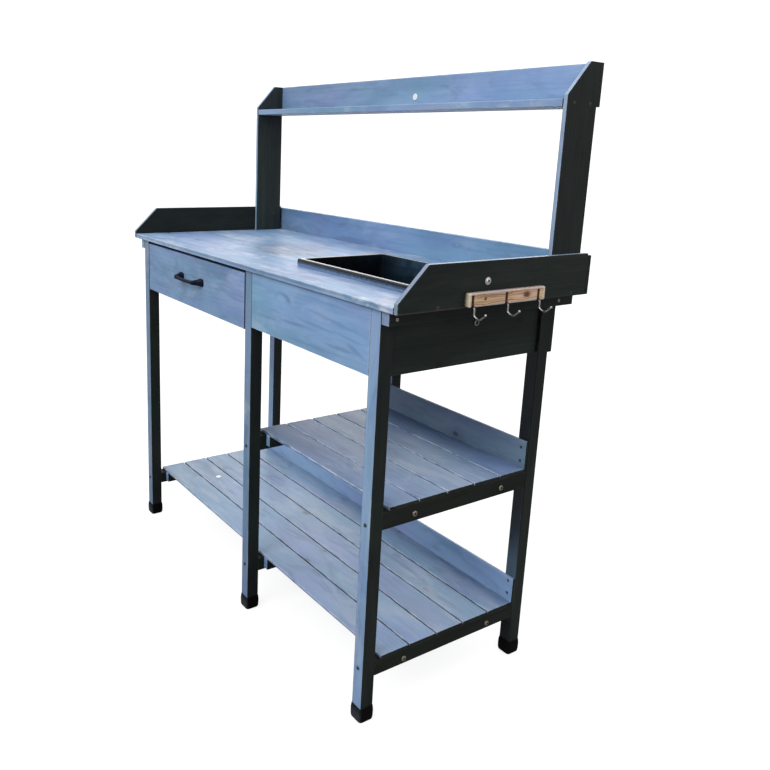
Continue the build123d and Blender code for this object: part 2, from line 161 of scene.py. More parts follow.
# ------------------------------------------------------------------ wood finishes
def wood(name, base, light, dark, knot, pale, worn, *, specular, rough, ring_k=0.2, streak_k=0.2, smudge_k=0.3,
         knot_k=0.6, fibre_k=0.2, wear_k=0.5, wear_w=0.0030, dry_k=1.0, knots=0.5, bump=0.35, lines=0.011,
         nick_k=0.5, blush=None, extra=None):
    s = Shader(name)
    g = s.split(s.attr("gco"))
    x, y, z = g[0], g[1], g[2]
    fibre = s.noise(s.scaled(g, 11, 430, 430), detail=2, rough=0.6)
    streak = s.noise(s.scaled(g, 2.2, 58, 58, 5.0), detail=3, rough=0.55)
    cloud = s.noise(s.scaled(g, 4.2, 15, 15, 11.0), detail=4, rough=0.60, distort=0.5)
    broad = s.noise(s.scaled(g, 1.3, 4, 4, 23.0), detail=1)
    smudge = s.noise(s.scaled(g, 6.5, 26, 26, 29.0), detail=3, rough=0.6, distort=0.9)
    # knots: one candidate per cell, kept by chance, stretched along the grain
    cells = s.new("ShaderNodeTexVoronoi", voronoi_dimensions="2D", feature="F1")
    s.feed(cells.inputs["Vector"], s.vec(s.mul(x, 4.0), s.mul(y, 6.5)))
    cells.inputs["Scale"].default_value = 1.0
    cells.inputs["Randomness"].default_value = 0.85
    kp = s.split(cells.outputs["Position"])
    chance = s.split(cells.outputs["Color"])
    dx = s.mul(s.sub(x, s.mul(kp[0], 1 / 4.0)), 0.62)
    dy = s.sub(y, s.mul(kp[1], 1 / 6.5))
    rag = s.mul(s.sub(s.noise(s.scaled(g, 90, 90, 90, 3.0), detail=2), 0.5), 0.0034)
    kd = s.add(s.math("SQRT", s.add(s.mul(dx, dx), s.mul(dy, dy))), rag)
    keep = s.math("GREATER_THAN", chance[0], knots)
    kr = s.math("MULTIPLY_ADD", chance[1], 0.0042, 0.0030)
    core = s.mul(s.remap(s.math("DIVIDE", kd, kr), 1.35, 0.50), keep)
    halo = s.mul(s.remap(s.math("DIVIDE", kd, kr), 5.0, 0.8), keep)
    # growth lines that wander along the board and bend round the knots
    wander = s.noise(s.scaled(g, 1.6, 5, 5, 31.0), detail=2, rough=0.45)
    phase = s.add(s.mul(s.add(y, s.mul(wander, 0.060)), 6.2832 / lines), s.mul(halo, 7.0))
    ring = s.remap(s.math("SINE", phase), 0.05, 1.0)
    ring = s.mul(ring, s.remap(s.noise(s.scaled(g, 1.9, 12, 12, 41.0), detail=2), 0.42, 0.66))
    # colour
    col = s.mix(s.remap(s.add(s.mul(cloud, 0.7), s.mul(broad, 0.3)), 0.38, 0.62), base, light)
    if blush:
        pink = s.remap(s.noise(s.scaled(g, 4.0, 9, 9, 47.0), detail=3, rough=0.55), 0.50, 0.72)
        col = s.mix(s.mul(pink, 0.30), col, blush)
    col = s.mix(s.mul(s.remap(smudge, 0.50, 0.74), smudge_k), col, dark)
    col = s.mix(s.mul(s.remap(streak, 0.46, 0.74), streak_k), col, dark)
    col = s.mix(s.mul(ring, ring_k), col, dark)
    col = s.mix(s.mul(s.remap(fibre, 0.45, 0.75), fibre_k), col, dark)
    col = s.mix(s.mul(halo, knot_k * 0.40), col, dark)
    col = s.mix(s.mul(core, knot_k), col, knot)
    # short dark nicks and resin lines
    nick = s.noise(s.scaled(g, 16.0, 120, 120, 107.0), detail=3, rough=0.6, distort=0.3)
    nick = s.mul(s.remap(nick, 0.66, 0.74), s.remap(s.noise(s.scaled(g, 5.0, 14, 14, 113.0), detail=2), 0.50, 0.62))
    col = s.mix(s.mul(nick, nick_k), col, dark)
    # the coat drifts between a greener and a more violet cast
    cast = s.remap(s.noise(s.scaled(g, 2.6, 6.5, 6.5, 101.0), detail=3, rough=0.55), 0.36, 0.64)
    col = s.vmath("MULTIPLY", col, s.mix(cast, (0.955, 1.035, 0.965), (1.045, 0.975, 1.035)))
    col = s.vmath("MULTIPLY", col, s.attr("tint"))
    shade = s.attr("shade", "Fac")
    col = s.vmath("MULTIPLY", col, s.vec(shade, shade, shade))
    inset = s.vmath("SUBTRACT", s.attr("hs"), s.vmath("ABSOLUTE", s.attr("loc")))
    a, b, c = s.split(inset)
    # dry, chalky patches
    dry = s.mul(s.remap(s.noise(s.scaled(g, 11.0, 25, 25, 53.0), detail=5, rough=0.66, distort=0.6), 0.46, 0.72),
                s.remap(s.noise(s.scaled(g, 3.4, 8, 8, 61.0), detail=2), 0.40, 0.66))
    chalk = s.attr("dry", "Fac")
    dry = s.mul(dry, s.mul(chalk, dry_k), clamp=True)
    if blush:
        # water marks and rubbed patches where the board is used most
        used = s.mul(s.remap(chalk, 0.85, 1.05), s.remap(c, 0.0030, 0.0012))
        m1 = s.noise(s.scaled(g, 4.6, 13, 13, 127.0), detail=5, rough=0.62, distort=1.0)
        m2 = s.noise(s.scaled(g, 8.5, 21, 21, 131.0), detail=4, rough=0.60, distort=0.8)
        col = s.mix(s.mul(s.mul(s.remap(m1, 0.53, 0.66), used), 0.42), col, (0.46, 0.52, 0.62))
        col = s.mix(s.mul(s.mul(s.remap(m2, 0.55, 0.67), used), 0.42), col, (0.47, 0.42, 0.51))
        col = s.mix(s.mul(s.mul(s.remap(m1, 0.46, 0.34), used), 0.26), col, dark)
    col = s.mix(dry, col, pale)
    # arris wear: second smallest distance to the sides of the board
    second = s.math("MAXIMUM", s.math("MINIMUM", a, b),
                    s.math("MINIMUM", s.math("MAXIMUM", a, b), c))
    chip = s.noise(s.scaled(g, 30, 120, 120, 71.0), detail=4, rough=0.65)
    edge = s.remap(s.add(second, s.mul(s.sub(chip, 0.46), 0.010)), wear_w, 0.0002)
    edge = s.mul(edge, s.mul(s.attr("worn", "Fac"), wear_k), clamp=True)
    col = s.mix(edge, col, worn)
    if extra:
        col = extra(s, col, g)
    s.set(Base_Color=col)
    r = s.add(s.math("MULTIPLY_ADD", s.sub(streak, 0.5), 0.20, rough),
              s.add(s.mul(dry, 0.10), s.add(s.mul(s.sub(fibre, 0.5), 0.10), s.mul(s.sub(cloud, 0.5), 0.16))))
    s.set(Roughness=s.math("ADD", r, s.mul(core, -0.06), clamp=True))
    s.set(Specular_IOR_Level=specular)
    h = s.add(s.mul(fibre, 0.30), s.add(s.mul(streak, 0.40), s.mul(cloud, 0.35)))
    h = s.add(h, s.add(s.mul(ring, -0.22), s.mul(core, -0.45)))
    h = s.add(h, s.mul(edge, -0.3))
    s.bump(h, bump, 0.0009)
    return s.mat


def strokes(s, col, g, marks, mid, dark):
    """Dark figure at given places of one board: centre, reach along and across the grain, slope, strength."""
    loc = s.split(s.attr("loc"))
    rag = s.mul(s.sub(s.noise(s.scaled(g, 26, 110, 110, 137.0), detail=4, rough=0.62), 0.5), 1.5)
    for x, y, rx, ry, slope, k in marks:
        u = s.sub(loc[0], (x - mid[0]) / 1000)
        v = s.sub(s.sub(loc[1], (y - mid[1]) / 1000), s.mul(u, slope))
        u, v = s.mul(u, 1000 / rx), s.mul(v, 1000 / ry)
        d = s.add(s.math("SQRT", s.add(s.mul(u, u), s.mul(v, v))), rag)
        col = s.mix(s.mul(s.remap(d, 1.15, 0.25), k), col, dark)
    return col


def apron_figure(s, col, g):
    """Wide late-wood streaks in the lower half, a bow of dark grain over a buried knot, and painted shade under the
    worktop's overhang.
    """
    mid = ((628.5 + 1062.0) / 2, (714.0 + 843.0) / 2)
    dark = (0.098, 0.182, 0.318)
    col = strokes(s, col, g, [(812, 760, 70, 4.5, 0.02, 0.55), (950, 792, 120, 5.0, -0.09, 0.40),
                              (962, 744, 62, 5.5, 0.0, 0.60), (1022, 750, 36, 6.5, -0.3, 0.50),
                              (890, 772, 90, 4.0, -0.04, 0.40), (700, 752, 60, 5.0, 0.05, 0.35),
                              (1000, 770, 60, 3.5, -0.05, 0.40), (880, 728, 110, 5.0, 0.0, 0.40),
                              (690, 806, 50, 7.0, 0.1, 0.22), (930, 823, 120, 4.0, -0.02, 0.25)], mid, dark)
    loc = s.split(s.attr("loc"))
    u, v = s.mul(s.sub(loc[0], (757 - mid[0]) / 1000), 1000 / 27), s.mul(s.sub(loc[1], (797 - mid[1]) / 1000), 1000 / 17)
    d = s.math("SQRT", s.add(s.mul(u, u), s.mul(v, v)))
    d = s.add(d, s.mul(s.sub(s.noise(s.scaled(g, 40, 60, 60, 139.0), detail=3), 0.5), 0.5))
    bow = s.mul(s.remap(s.math("ABSOLUTE", s.sub(d, 1.0)), 0.42, 0.08), s.remap(v, -0.15, 0.35))
    col = s.mix(s.mul(s.mul(bow, s.remap(u, -1.1, 0.5, 0.35, 1.0)), 0.62), col, dark)
    # painted shade along the top, under the worktop's overhang
    top = s.remap(s.sub(s.split(s.attr("hs"))[1], loc[1]), 0.0060, 0.0015)
    return s.mix(s.mul(top, 0.65), col, (0.060, 0.120, 0.230))


def splash_figure(s, col, g):
    """One knot with a pale heart right of the middle."""
    mid = (546.0, (843.0 + 923.0) / 2)
    col = strokes(s, col, g, [(771, 898, 26, 8.0, 0.0, 0.50), (820, 893, 60, 4.0, 0.0, 0.30)], mid, (0.100, 0.180, 0.310))
    return strokes(s, col, g, [(771, 899, 8, 4.0, 0.0, 0.55)], mid, (0.235, 0.350, 0.480))


def drawer_figure(s, col, g):
    """Thin and thick places of the coat."""
    m = s.noise(s.scaled(g, 5.2, 15, 15, 149.0), detail=4, rough=0.58, distort=0.8)
    col = s.mix(s.mul(s.remap(m, 0.50, 0.64), 0.55), col, (0.235, 0.335, 0.530))
    return s.mix(s.mul(s.remap(m, 0.47, 0.36), 0.50), col, (0.118, 0.195, 0.345))


BLUE_COAT = dict(base=(0.160, 0.290, 0.496), light=(0.222, 0.372, 0.592), dark=(0.082, 0.152, 0.285),
                 knot=(0.032, 0.050, 0.095), pale=(0.46, 0.53, 0.63), worn=(0.46, 0.53, 0.64), specular=0.50, rough=0.44,
                 ring_k=0.20, streak_k=0.18, smudge_k=0.42, knot_k=0.72, fibre_k=0.14, wear_k=0.50,
                 blush=(0.275, 0.305, 0.500))
def slat_figure(s, col, g):
    """Sun-bleached patches."""
    m = s.noise(s.scaled(g, 5.5, 17, 17, 157.0), detail=4, rough=0.6, distort=0.7)
    k = s.attr("shade", "Fac")
    pale = s.vmath("MULTIPLY", s.vec(k, k, k), (0.305, 0.365, 0.455))
    along, half = s.split(s.attr("loc"))[0], s.split(s.attr("hs"))[0]
    short = s.remap(half, 0.45, 0.35)
    col = s.mix(s.mul(s.remap(m, 0.52, 0.68), s.remap(short, 0.0, 1.0, 0.45, 0.36)), col, pale)
    # the long slats are greyer at the drawer end, the short ones colder
    col = s.vmath("MULTIPLY", col, s.mix(s.remap(along, -0.24, -0.50), (1.0, 1.0, 1.0), (1.0, 0.945, 0.895)))
    return s.vmath("MULTIPLY", col, s.mix(s.mul(short, s.remap(along, 0.08, -0.20)), (1.0, 1.0, 1.0), (0.82, 0.90, 0.98)))


def top_figure(s, col, g):
    """Mauve wash and scratches left of the sink, bleached strokes towards the drawer end."""
    rag = s.mul(s.sub(s.noise(s.scaled(g, 24, 90, 90, 163.0), detail=4, rough=0.62), 0.5), 1.5)
    face = s.remap(s.sub(s.split(s.attr("hs"))[2], s.split(s.attr("loc"))[2]), 0.0030, 0.0012)
    for x, y, rx, ry, k, f in ((375, 288, 150, 70, 0.95, (0.68, 0.62, 0.69)), (432, 182, 125, 66, 1.0, (0.60, 0.62, 0.68)),
                               (505, 240, 100, 42, 0.80, (0.78, 0.74, 0.73)), (300, 215, 90, 40, 0.40, (0.80, 0.84, 0.88)),
                               (440, 181, 46, 3.2, 0.70, (0.62, 0.62, 0.64)), (472, 219, 40, 3.0, 0.70, (0.66, 0.62, 0.60)),
                               (418, 243, 56, 3.0, 0.60, (0.70, 0.66, 0.66)), (520, 262, 34, 3.0, 0.60, (0.66, 0.60, 0.58)),
                               (340, 262, 60, 3.5, 0.50, (0.72, 0.70, 0.76)), (560, 190, 40, 3.0, 0.45, (0.72, 0.72, 0.74)),
                               (356, 50, 52, 5.0, 0.60, (1.22, 1.16, 1.12)), (398, 68, 36, 4.0, 0.60, (1.20, 1.16, 1.10)),
                               (150, 84, 75, 9.0, 0.75, (1.30, 1.28, 1.24)), (330, 352, 90, 6.0, 0.60, (1.14, 1.14, 1.12)),
                               (470, 318, 80, 7.0, 0.50, (1.10, 1.06, 1.06)), (828, 46, 26, 11.0, 0.70, (1.12, 0.97, 0.96)),
                               (872, 52, 26, 9.0, 0.70, (0.80, 0.85, 0.90)), (700, 60, 40, 7.0, 0.50, (1.10, 1.06, 1.04))):
        u = s.mul(s.sub(g[0], 7.3 + (x - OX) / 1000), 1000 / rx)
        v = s.mul(s.sub(g[1], 4.1 + (y - OY) / 1000), 1000 / ry)
        d = s.add(s.math("SQRT", s.add(s.mul(u, u), s.mul(v, v))), rag)
        k = s.mul(s.mul(s.remap(d, 1.15, 0.30), k), face)
        col = s.vmath("MULTIPLY", col, s.mix(k, (1.0, 1.0, 1.0), f))
    return col


BLUE = wood("blue_paint", **BLUE_COAT)
BLUE_TOP = wood("blue_paint_worktop", extra=top_figure, **BLUE_COAT)
BLUE_SLAT = wood("blue_paint_slats", extra=slat_figure, nick_k=0.8,
                 **{**BLUE_COAT, "wear_k": 0.60, "streak_k": 0.12, "ring_k": 0.14, "smudge_k": 0.62})
BLUE_CLEAR = wood("blue_paint_clear", knots=2.0, **BLUE_COAT)
BLUE_APRON = wood("blue_paint_apron", knots=2.0, extra=apron_figure, **BLUE_COAT)
BLUE_SPLASH = wood("blue_paint_splash", knots=2.0, extra=splash_figure, **BLUE_COAT)
BLUE_DRAWER = wood("blue_paint_drawer", knots=2.0, extra=drawer_figure, **BLUE_COAT)


def side_rub(s, col, g):
    """Brown wear along the lower arris, mostly towards the front, rubbed through the painted side shade."""
    loc, hs = s.split(s.attr("loc")), s.split(s.attr("hs"))
    d = s.add(s.add(loc[1], hs[1]), s.mul(s.sub(s.noise(s.scaled(g, 28, 60, 60, 151.0), detail=4, rough=0.62), 0.5), 0.010))
    k = s.mul(s.remap(d, 0.0042, 0.0012), s.remap(loc[0], 0.16, -0.06, 0.15, 0.85))
    return s.mix(k, col, (0.062, 0.046, 0.034))


# Painted shade: a near-black coat for the faces that point along X, standing in for the shade on that side of the
# bench.
CHAR_COAT = dict(base=(0.0086, 0.0124, 0.0116), light=(0.0150, 0.0202, 0.0186), dark=(0.0046, 0.0064, 0.0062),
                 knot=(0.003, 0.0038, 0.0038), pale=(0.040, 0.044, 0.042), worn=(0.050, 0.050, 0.048), specular=0.16,
                 rough=0.56, ring_k=0.3, streak_k=0.3, smudge_k=0.3, knot_k=0.5, fibre_k=0.3, wear_k=0.28, wear_w=0.0022,
                 dry_k=0.25)
CHAR = wood("painted_shade_side", **CHAR_COAT)
CHAR_RUB = wood("painted_shade_side_rubbed", extra=side_rub, **CHAR_COAT)

INNER = wood("inner_pine", (0.56, 0.40, 0.235), (0.66, 0.50, 0.32), (0.40, 0.245, 0.12),
             (0.16, 0.075, 0.030), (0.70, 0.60, 0.46), (0.62, 0.48, 0.32),
             specular=0.35, rough=0.60, ring_k=0.55, streak_k=0.35, knot_k=0.85, fibre_k=0.25, wear_k=0.25, dry_k=0.4)


KERFS = (153.5, 240.0, 326.5)
RAIL_MID = (145.0 + 346.0) / 2


def rail_marks(s, col, g):
    """Paint rubbed off on the long edges, a knot round the second screw, and painted shade in the kerfs."""
    loc, hs = s.split(s.attr("loc")), s.split(s.attr("hs"))
    d = s.sub(hs[1], s.math("ABSOLUTE", loc[1]))
    d = s.add(d, s.mul(s.sub(s.noise(s.scaled(g, 22, 50, 50, 83.0), detail=3), 0.5), 0.016))
    col = s.mix(s.mul(s.remap(d, 0.0040, 0.0016), 0.74), col, (0.44, 0.375, 0.39))
    for at, k in ((0.0050, 0.78), (0.0088, 0.42)):
        line = s.mul(s.remap(d, at + 0.0013, at + 0.0003), s.remap(d, at - 0.0015, at - 0.0002))
        col = s.mix(s.mul(line, k), col, (0.19, 0.085, 0.042))
    e = s.sub(hs[0], s.math("ABSOLUTE", loc[0]))
    e = s.add(e, s.mul(s.sub(s.noise(s.scaled(g, 60, 60, 60, 89.0), detail=3), 0.5), 0.012))
    col = s.mix(s.mul(s.remap(e, 0.0085, 0.0030), 0.65), col, (0.68, 0.62, 0.47))
    kx, ky = s.sub(loc[0], (294.5 - RAIL_MID) / 1000), s.sub(loc[1], 0.0015)
    kd = s.math("SQRT", s.add(s.mul(s.mul(kx, kx), 0.40), s.mul(ky, ky)))
    kd = s.add(kd, s.mul(s.sub(s.noise(s.scaled(g, 130, 130, 130, 97.0), detail=2), 0.5), 0.003))
    col = s.mix(s.mul(s.remap(kd, 0.0120, 0.0030), 0.60), col, (0.26, 0.125, 0.055))
    col = s.mix(s.mul(s.remap(kd, 0.0066, 0.0045), 0.80), col, (0.120, 0.052, 0.024))
    # painted shade in the kerfs, up to their top
    low = s.remap(loc[1], 0.0102, 0.0092)
    for y in KERFS:
        m = s.remap(s.math("ABSOLUTE", s.sub(loc[0], (y - RAIL_MID) / 1000)), 0.0038, 0.0029)
        col = s.mix(s.mul(s.mul(m, low), 0.90), col, (0.060, 0.026, 0.012))
    return col


RAIL = wood("bare_pine", (0.64, 0.385, 0.240), (0.80, 0.55, 0.39), (0.215, 0.100, 0.046),
            (0.12, 0.055, 0.025), (0.70, 0.57, 0.46), (0.66, 0.57, 0.50), specular=0.35, rough=0.55, ring_k=0.85,
            streak_k=0.40, smudge_k=0.50, knot_k=0.7, fibre_k=0.3, wear_k=0.4, dry_k=0.6, knots=2.0, lines=0.0090,
            extra=rail_marks)


# ------------------------------------------------------------------ plastic and metal
def plastic(name, base, dust, rough, specular, grain=900.0, dust_k=0.3, bump=0.12, extra=None):
    s = Shader(name)
    p = s.place()
    fine = s.noise(p, grain, 2, 0.6)
    patch = s.noise(p, 18.0, 4, 0.6)
    scuff = s.split(p)
    scuff = s.noise(s.scaled(scuff, 40, 260, 120, 9.0), detail=3, rough=0.65)
    col = s.mix(s.mul(s.remap(patch, 0.42, 0.72), dust_k), base, dust)
    col = s.mix(s.mul(s.remap(scuff, 0.62, 0.78), dust_k * 0.8), col, dust)
    col = s.mix(s.mul(fine, 0.12), col, dust)
    if extra:
        col = extra(s, col)
    s.set(Base_Color=col, Specular_IOR_Level=specular)
    s.set(Roughness=s.math("ADD", s.math("MULTIPLY_ADD", s.sub(patch, 0.5), 0.22, rough),
                           s.mul(s.remap(scuff, 0.6, 0.8), 0.12), clamp=True))
    s.bump(s.add(s.mul(fine, 0.5), s.mul(patch, 0.5)), bump, 0.0006)
    return s.mat


def metal(name, base, stain, rough, metallic=1.0, stain_k=0.5, tone=None):
    s = Shader(name)
    p = s.place()
    a = s.noise(p, 160.0, 4, 0.65)
    b = s.noise(p, 1400.0, 2, 0.6)
    q = s.split(p)
    scratch = s.noise(s.scaled(q, 300, 2600, 900, 4.0), detail=2)
    col = s.mix(s.mul(s.remap(a, 0.42, 0.70), stain_k), base, stain)
    col = s.mix(s.mul(s.remap(b, 0.5, 0.8), 0.3), col, stain)
    if tone:
        col = tone(s, col, q)
    s.set(Base_Color=col, Metallic=metallic)
    s.set(Roughness=s.math("ADD", s.math("MULTIPLY_ADD", s.sub(a, 0.5), 0.35, rough),
                           s.mul(s.sub(scratch, 0.5), 0.25), clamp=True))
    s.bump(s.add(s.mul(b, 0.4), s.mul(scratch, 0.6)), 0.15, 0.0003)
    return s.mat


def rim_reflection(s, col):
    """Painted reflection of the blue worktop on the rim's skirt, growing towards its foot."""
    b = s.attr("painted_sheen", "Fac")
    b = s.add(b, s.mul(s.sub(s.noise(s.place(), 120.0, 4, 0.62), 0.5), 0.55))
    col = s.mix(s.mul(s.remap(b, 0.18, 0.66), 0.88), col, (0.054, 0.088, 0.150))
    return s.mix(s.mul(s.remap(b, 0.55, 1.0), 0.82), col, (0.180, 0.265, 0.410))


def wall_reflection(s, col):
    """Painted blue reflection high on the rear wall of the basin."""
    b = s.mul(s.attr("painted_sheen", "Fac"), s.remap(s.noise(s.place(), 22.0, 4, 0.6), 0.34, 0.66, 0.45, 1.0))
    return s.mix(b, col, (0.0620, 0.1350, 0.2300))


SINK = plastic("sink_black", (0.0016, 0.0020, 0.0032), (0.007, 0.009, 0.013), 0.17, 0.42, 700.0, 0.25, 0.05, rim_reflection)
BASIN = plastic("basin_black", (0.0004, 0.0005, 0.0007), (0.0012, 0.0015, 0.0022), 0.58, 0.025, 700.0, 0.30, 0.05, wall_reflection)
def cap_highlight(s, col):
    """Painted highlight on the front of the foot caps, stronger towards the floor."""
    b = s.mul(s.attr("painted_sheen", "Fac"), s.remap(s.noise(s.place(), 140.0, 4, 0.6), 0.30, 0.70, 0.55, 1.0))
    return s.mix(b, col, (0.048, 0.056, 0.064))


CAPS = plastic("foot_black", (0.0016, 0.0017, 0.0015), (0.0060, 0.0062, 0.0056), 0.55, 0.06, 1100.0, 0.35, 0.22, cap_highlight)
WHITE = plastic("white_plastic", (0.80, 0.81, 0.80), (0.62, 0.62, 0.60), 0.36, 0.5, 900.0, 0.35, 0.08)
IRON = plastic("dark_iron", (0.0028, 0.0060, 0.0170), (0.009, 0.016, 0.036), 0.40, 0.10, 1600.0, 0.35, 0.25)


def wire_kerf_shade(s, col, q):
    """Painted shade on the wire where it sits in the rail's kerfs."""
    return s.mix(s.remap(q[2], 0.8482, 0.8510), col, (0.030, 0.018, 0.012))


def head_tone(s, col, q):
    """Plain zinc on the cleats, dull and dark on the other boards."""
    on_cleat = s.mul(s.remap(q[2], 0.837, 0.835), s.remap(q[2], 0.823, 0.826))
    on_rail = s.mul(s.remap(q[2], 0.871, 0.869), s.remap(q[2], 0.856, 0.858))
    other = s.mix(on_rail, (0.028, 0.024, 0.022), (0.120, 0.055, 0.026))
    return s.mix(on_cleat, s.mix(0.90, col, other), col)


WIRE = metal("bright_wire", (0.50, 0.49, 0.47), (0.26, 0.25, 0.23), 0.34, 1.0, 0.5, wire_kerf_shade)
STEEL = metal("zinc_heads", (0.42, 0.38, 0.32), (0.20, 0.17, 0.14), 0.42, 0.60, 0.5, head_tone)
BOLTS = metal("rail_heads", (0.27, 0.235, 0.185), (0.11, 0.090, 0.065), 0.40, 0.65, 0.6)


def plate_tone(s, col, q):
    """The bolt in the side board is clean zinc, the one in the apron is dull."""
    return s.mix(s.remap(q[2], 0.84, 0.86), s.mix(0.65, col, (0.10, 0.095, 0.085)), col)


ZINC = metal("plate_heads", (0.58, 0.58, 0.57), (0.34, 0.34, 0.33), 0.40, 0.60, 0.4, plate_tone)
SOCKET = metal("socket_dirt", (0.022, 0.019, 0.016), (0.050, 0.044, 0.036), 0.60, 0.2)
DARKS = metal("painted_heads", (0.026, 0.042, 0.070), (0.075, 0.095, 0.125), 0.46, 0.25)


# ------------------------------------------------------------------ geometry kit
AXIS = {"X": 0, "Y": 1, "Z": 2}


def mesh_object(name, bm, mats, body, nodes, slot):
    me = bpy.data.meshes.new(name)
    bm.to_mesh(me)
    bm.free()
    for m in mats:
        me.materials.append(m)
    for p in me.polygons:
        p.use_smooth = True
    ob = bpy.data.objects.new(name, me)
    bpy.context.scene.collection.objects.link(ob)
    if nodes:
        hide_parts(*nodes)
    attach(ob, body)
    return ob


def give(me, name, kind, values, domain="POINT"):
    a = me.attributes.new(name, kind, domain)
    a.data.foreach_set("value" if kind == "FLOAT" else "vector", np.asarray(values, np.float32).ravel())


def finish_attributes(me, tint, edge_tint, dry, worn, dim=None, shade=None):
    """Tint by face, so that the blue edges of a board can be paler than its faces that carry the painted side shade."""
    n, f = len(me.vertices), len(me.polygons)
    idx = np.zeros(f, np.int32)
    me.polygons.foreach_get("material_index", idx)
    col = np.where((idx == 0)[:, None], np.array(edge_tint), np.array(tint))
    if dim:
        col = col * np.array([dim(p.normal) for p in me.polygons])[:, None]
    give(me, "tint", "FLOAT_VECTOR", col, "FACE")
    give(me, "dry", "FLOAT", np.full(n, dry))
    give(me, "worn", "FLOAT", np.full(n, worn))
    give(me, "shade", "FLOAT", [shade(v.co.x * 1000 + OX, v.co.y * 1000 + OY, v.co.z * 1000 + OZ) if shade else 1.0
                                for v in me.vertices])


def grain_attributes(me, grain, thick, lo, hi, off, origin=None):
    """Coordinates along, across and through the board, and its half sizes."""
    co = np.empty(len(me.vertices) * 3, np.float32)
    me.vertices.foreach_get("co", co)
    co = co.reshape(-1, 3)
    g, t = AXIS[grain], AXIS[thick]
    order = [g, 3 - g - t, t]
    mid = (np.array(lo) + np.array(hi)) / 2
    half = (np.array(hi) - np.array(lo)) / 2
    loc = (co - mid)[:, order]
    from_ = (co - np.array(origin))[:, order] if origin is not None else loc
    give(me, "loc", "FLOAT_VECTOR", loc)
    give(me, "hs", "FLOAT_VECTOR", np.tile(half[order], (len(co), 1)))
    give(me, "gco", "FLOAT_VECTOR", from_ + np.array(off))


def prism(outline, axis, w0, w1):
    bm = bmesh.new()

    def at(u, v, w):
        return {"X": M(w, u, v), "Y": M(u, w, v), "Z": M(u, v, w)}[axis]

    low = [bm.verts.new(at(u, v, w0)) for u, v in outline]
    top = [bm.verts.new(at(u, v, w1)) for u, v in outline]
    bm.faces.new(low[::-1])
    bm.faces.new(top)
    for i in range(len(outline)):
        j = (i + 1) % len(outline)
        bm.faces.new((low[i], low[j], top[j], top[i]))
    bmesh.ops.recalc_face_normals(bm, faces=bm.faces)
    return bm


def shape_board(bm, grain, bevel, seed, amp=0.00028, step=0.075, keep=None):
    """Eases the arrises, cuts loops along the grain and dents the faces slightly inwards."""
    edges = [e for e in bm.edges if keep is None or not keep(e)]
    bmesh.ops.bevel(bm, geom=edges, offset=bevel / 1000, offset_type="OFFSET", segments=3, profile=0.5,
                    affect="EDGES", clamp_overlap=True)
    g = AXIS[grain]
    lo = min(v.co[g] for v in bm.verts)
    hi = max(v.co[g] for v in bm.verts)
    n = max(1, int((hi - lo) / step))
    axis = Vector((0, 0, 0))
    axis[g] = 1
    for i in range(1, n):
        at = Vector((0, 0, 0))
        at[g] = lo + (hi - lo) * i / n
        bmesh.ops.bisect_plane(bm, geom=bm.verts[:] + bm.edges[:] + bm.faces[:], plane_co=at, plane_no=axis)
    bm.normal_update()
    shift = Vector((seed * 3.1, seed * 1.7, seed * 2.3))
    for v in bm.verts:
        v.co -= v.normal * amp * (0.5 + 0.5 * noise.noise(v.co * 7.0 + shift))
    bm.normal_update()


# Painted shade: faces that point along X, and up-facing ones when asked, get the second, near-black material.
def shade_sides(bm, shade_top=False, limit=0.2):
    for f in bm.faces:
        f.material_index = 1 if abs(f.normal.x) > limit or (shade_top and abs(f.normal.z) > 0.2) else 0


SEED = [0]
PAINTED = (BLUE, CHAR)


def board(node, grain, thick, *, body="bench", outline=None, axis=None, bevel=1.3, mats=PAINTED,
          slot="blue_wood", tint=(1, 1, 1), edge_tint=None, face_tint=(1, 1, 1), dry=0.5, worn=1.0, off=None, origin=None, keep=None,
          amp=0.00028, carve=None, shade_top=False, dim=None, shade=None, limit=0.2):
    SEED[0] += 1
    rng = random.Random(100 + SEED[0])
    lo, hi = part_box(node)
    axis = axis or "Z"
    if outline is None:
        lx, hx = lo.x * 1000 + OX, hi.x * 1000 + OX
        ly, hy = lo.y * 1000 + OY, hi.y * 1000 + OY
        outline = [(lx, ly), (hx, ly), (hx, hy), (lx, hy)]
        axis = "Z"
    mid = {"X": (lo.x, hi.x, OX), "Y": (lo.y, hi.y, OY), "Z": (lo.z, hi.z, OZ)}[axis]
    bm = prism(outline, axis, mid[0] * 1000 + mid[2], mid[1] * 1000 + mid[2])
    shape_board(bm, grain, bevel, SEED[0], amp=amp, keep=keep)
    if carve:
        carve(bm)
    if len(mats) > 1:
        shade_sides(bm, shade_top, limit)
    ob = mesh_object(node + "_body", bm, mats, body, [node], slot)
    off = off or (rng.uniform(2, 40), rng.uniform(1, 20), rng.uniform(1, 20))
    v = 1 + rng.uniform(-0.035, 0.035)
    if edge_tint is None:
        edge_tint = (1.22, 1.13, 1.03) if thick == "X" else tint
    grain_attributes(ob.data, grain, thick, lo, hi, off, origin)
    finish_attributes(ob.data, [c * v for c in face_tint], [c * v for c in edge_tint], dry, worn, dim, shade)
    w = ob.modifiers.new("normals", "WEIGHTED_NORMAL")
    w.keep_sharp = True
    return ob


